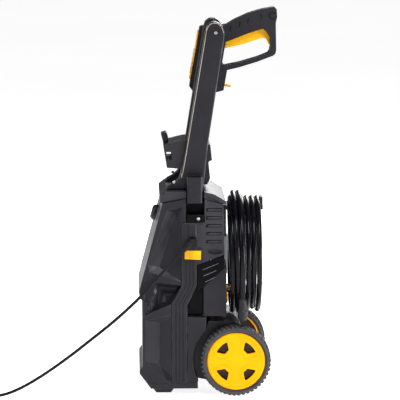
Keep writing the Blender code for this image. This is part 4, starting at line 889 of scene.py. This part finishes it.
def makeHub(label, side):
    rim, face = wheel["rim"], wheel["face"]
    back, under = wheel["inner"] + 0.0035, face - wheel["plate"]
    profile = [(0, face), (rim - 0.0070, face), (rim - 0.0060, face + 0.0008), (rim - 0.0020, face + 0.0004),
               (rim, face - 0.0024), (rim, back), (rim - 0.0035, back), (rim - 0.0035, under), (0, under)]
    bm = spun(profile, 96)
    tool = bmesh.new()
    lines = bmesh.new()
    for quarter in range(4):
        turn = 45 + 90 * quarter
        (far, wide), (near, narrow) = hubOpening["outer"], hubOpening["inner"]
        outline = [polar(far, turn + wide * k / 4) for k in range(-4, 5)]
        outline += [polar(near, turn + narrow * k) for k in (1, 0, -1)]
        prism(tool, inMm(*outline), face - 0.010, face + 0.004)
        half = hubLine["points"]
        path = [polar(r, turn + a) for r, a in half] + [polar(r, turn - a) for r, a in reversed(half[:-1])]
        smooth = smoothLine([(x * mm, 0, z * mm) for x, z in path], 0.003)
        groove = ribbon([(p.x, p.z) for p in smooth], hubLine["width"] * mm)
        prism(lines, groove, face - hubLine["depth"] * mm, face + 0.004)
    corners = [e for e in tool.edges if abs((e.verts[0].co - e.verts[1].co).normalized().y) > 0.9
               and e.calc_face_angle(0) > radians(25)]
    bmesh.ops.bevel(tool, geom=corners, offset=hubOpening["corner"], affect="EDGES", segments=4, profile=0.5,
                    material=-1)
    carve(bm, lines)
    carve(bm, tool)
    onFace = [e for e in bm.edges if e.calc_face_angle(0) > radians(50)
              and all(abs(v.co.y - face) < 1e-5 for v in e.verts)]
    rims = [e for e in onFace if any(abs(v.co.y - face) > 0.002 for f in e.link_faces for v in f.verts
                                     if abs(f.normal.y) < 0.1)]  # only the openings, not the grooves
    bmesh.ops.bevel(bm, geom=rims, offset=hubOpening["rim"], affect="EDGES", segments=2, profile=0.5,
                    material=-1)
    if side < 0:
        bmesh.ops.scale(bm, verts=bm.verts, vec=(1, -1, 1))
        bmesh.ops.reverse_faces(bm, faces=bm.faces)
    bmesh.ops.translate(bm, verts=bm.verts, vec=(wheel["x"], 0, wheel["z"]))
    meshPiece(bm, "hub_face_" + label, "wheel_" + label, yellowPlastic, "yellow_plastic",
              ("wheel_hub_" + label,), 30)
    bm = spun([(r, side * y) for r, y in hubWeb], 64)
    bmesh.ops.translate(bm, verts=bm.verts, vec=(wheel["x"], 0, wheel["z"]))
    meshPiece(bm, "hub_web_" + label, "wheel_" + label, webPlastic, "black_plastic")


for name, side in (("left", -1), ("right", 1)):
    makeTyre(name, side)
    makeHub(name, side)
print("wheels made")


# Studio: a white room, dim for what is mirrored, with soft lamps aimed at the washer's middle
studio = {"floor": 60, "drop": 0.0004, "aim": (0, 0, 0.4), "world": 1.0, "glow": 0.12, "table": 0.92,
          "lamps": (("side", (3.3, -1.5, 0.35), 1.3, 135), ("key", (0.6, -1.6, 3.0), 1.1, 80),
                    ("fill", (-3.0, -0.4, 1.8), 1.6, 40), ("rim", (1.0, 3.0, 1.8), 1.6, 70))}


def makeStudio():
    bm = bmesh.new()
    bmesh.ops.create_grid(bm, x_segments=1, y_segments=1, size=studio["floor"])
    mesh = bpy.data.meshes.new("floor")
    bm.to_mesh(mesh)
    bm.free()
    floor = bpy.data.objects.new("floor", mesh)
    floor.location = (0, 0, -studio["drop"])
    bpy.context.scene.collection.objects.link(floor)
    s = Sheet("floorPaint")
    tone = s.noise(0.8, 2.0)
    paint = s.mix(tone, rgb(0.90, 0.90, 0.90), rgb(0.94, 0.94, 0.94))
    mesh.materials.append(s.done({"Base Color": paint, "Roughness": 0.9, "Emission Color": paint,
                                  "Emission Strength": studio["table"]}))
    world = bpy.data.worlds.new("studio")
    world.use_nodes = True
    nodes, links = world.node_tree.nodes, world.node_tree.links
    sky = nodes["Background"]
    sky.inputs["Color"].default_value = (1, 1, 1, 1)
    seen = nodes.new("ShaderNodeLightPath")
    level = nodes.new("ShaderNodeMapRange")
    level.inputs["To Min"].default_value = studio["glow"]
    level.inputs["To Max"].default_value = studio["world"]
    links.new(seen.outputs["Is Camera Ray"], level.inputs["Value"])
    links.new(level.outputs["Result"], sky.inputs["Strength"])
    bpy.context.scene.world = world
    for name, place, size, power in studio["lamps"]:
        data = bpy.data.lights.new(name, "AREA")
        data.size = size
        data.energy = power
        lamp = bpy.data.objects.new(name, data)
        lamp.location = place
        aim = Vector(studio["aim"]) - Vector(place)
        lamp.rotation_euler = aim.to_track_quat("-Z", "Y").to_euler()
        bpy.context.scene.collection.objects.link(lamp)


makeStudio()
print("studio lit")
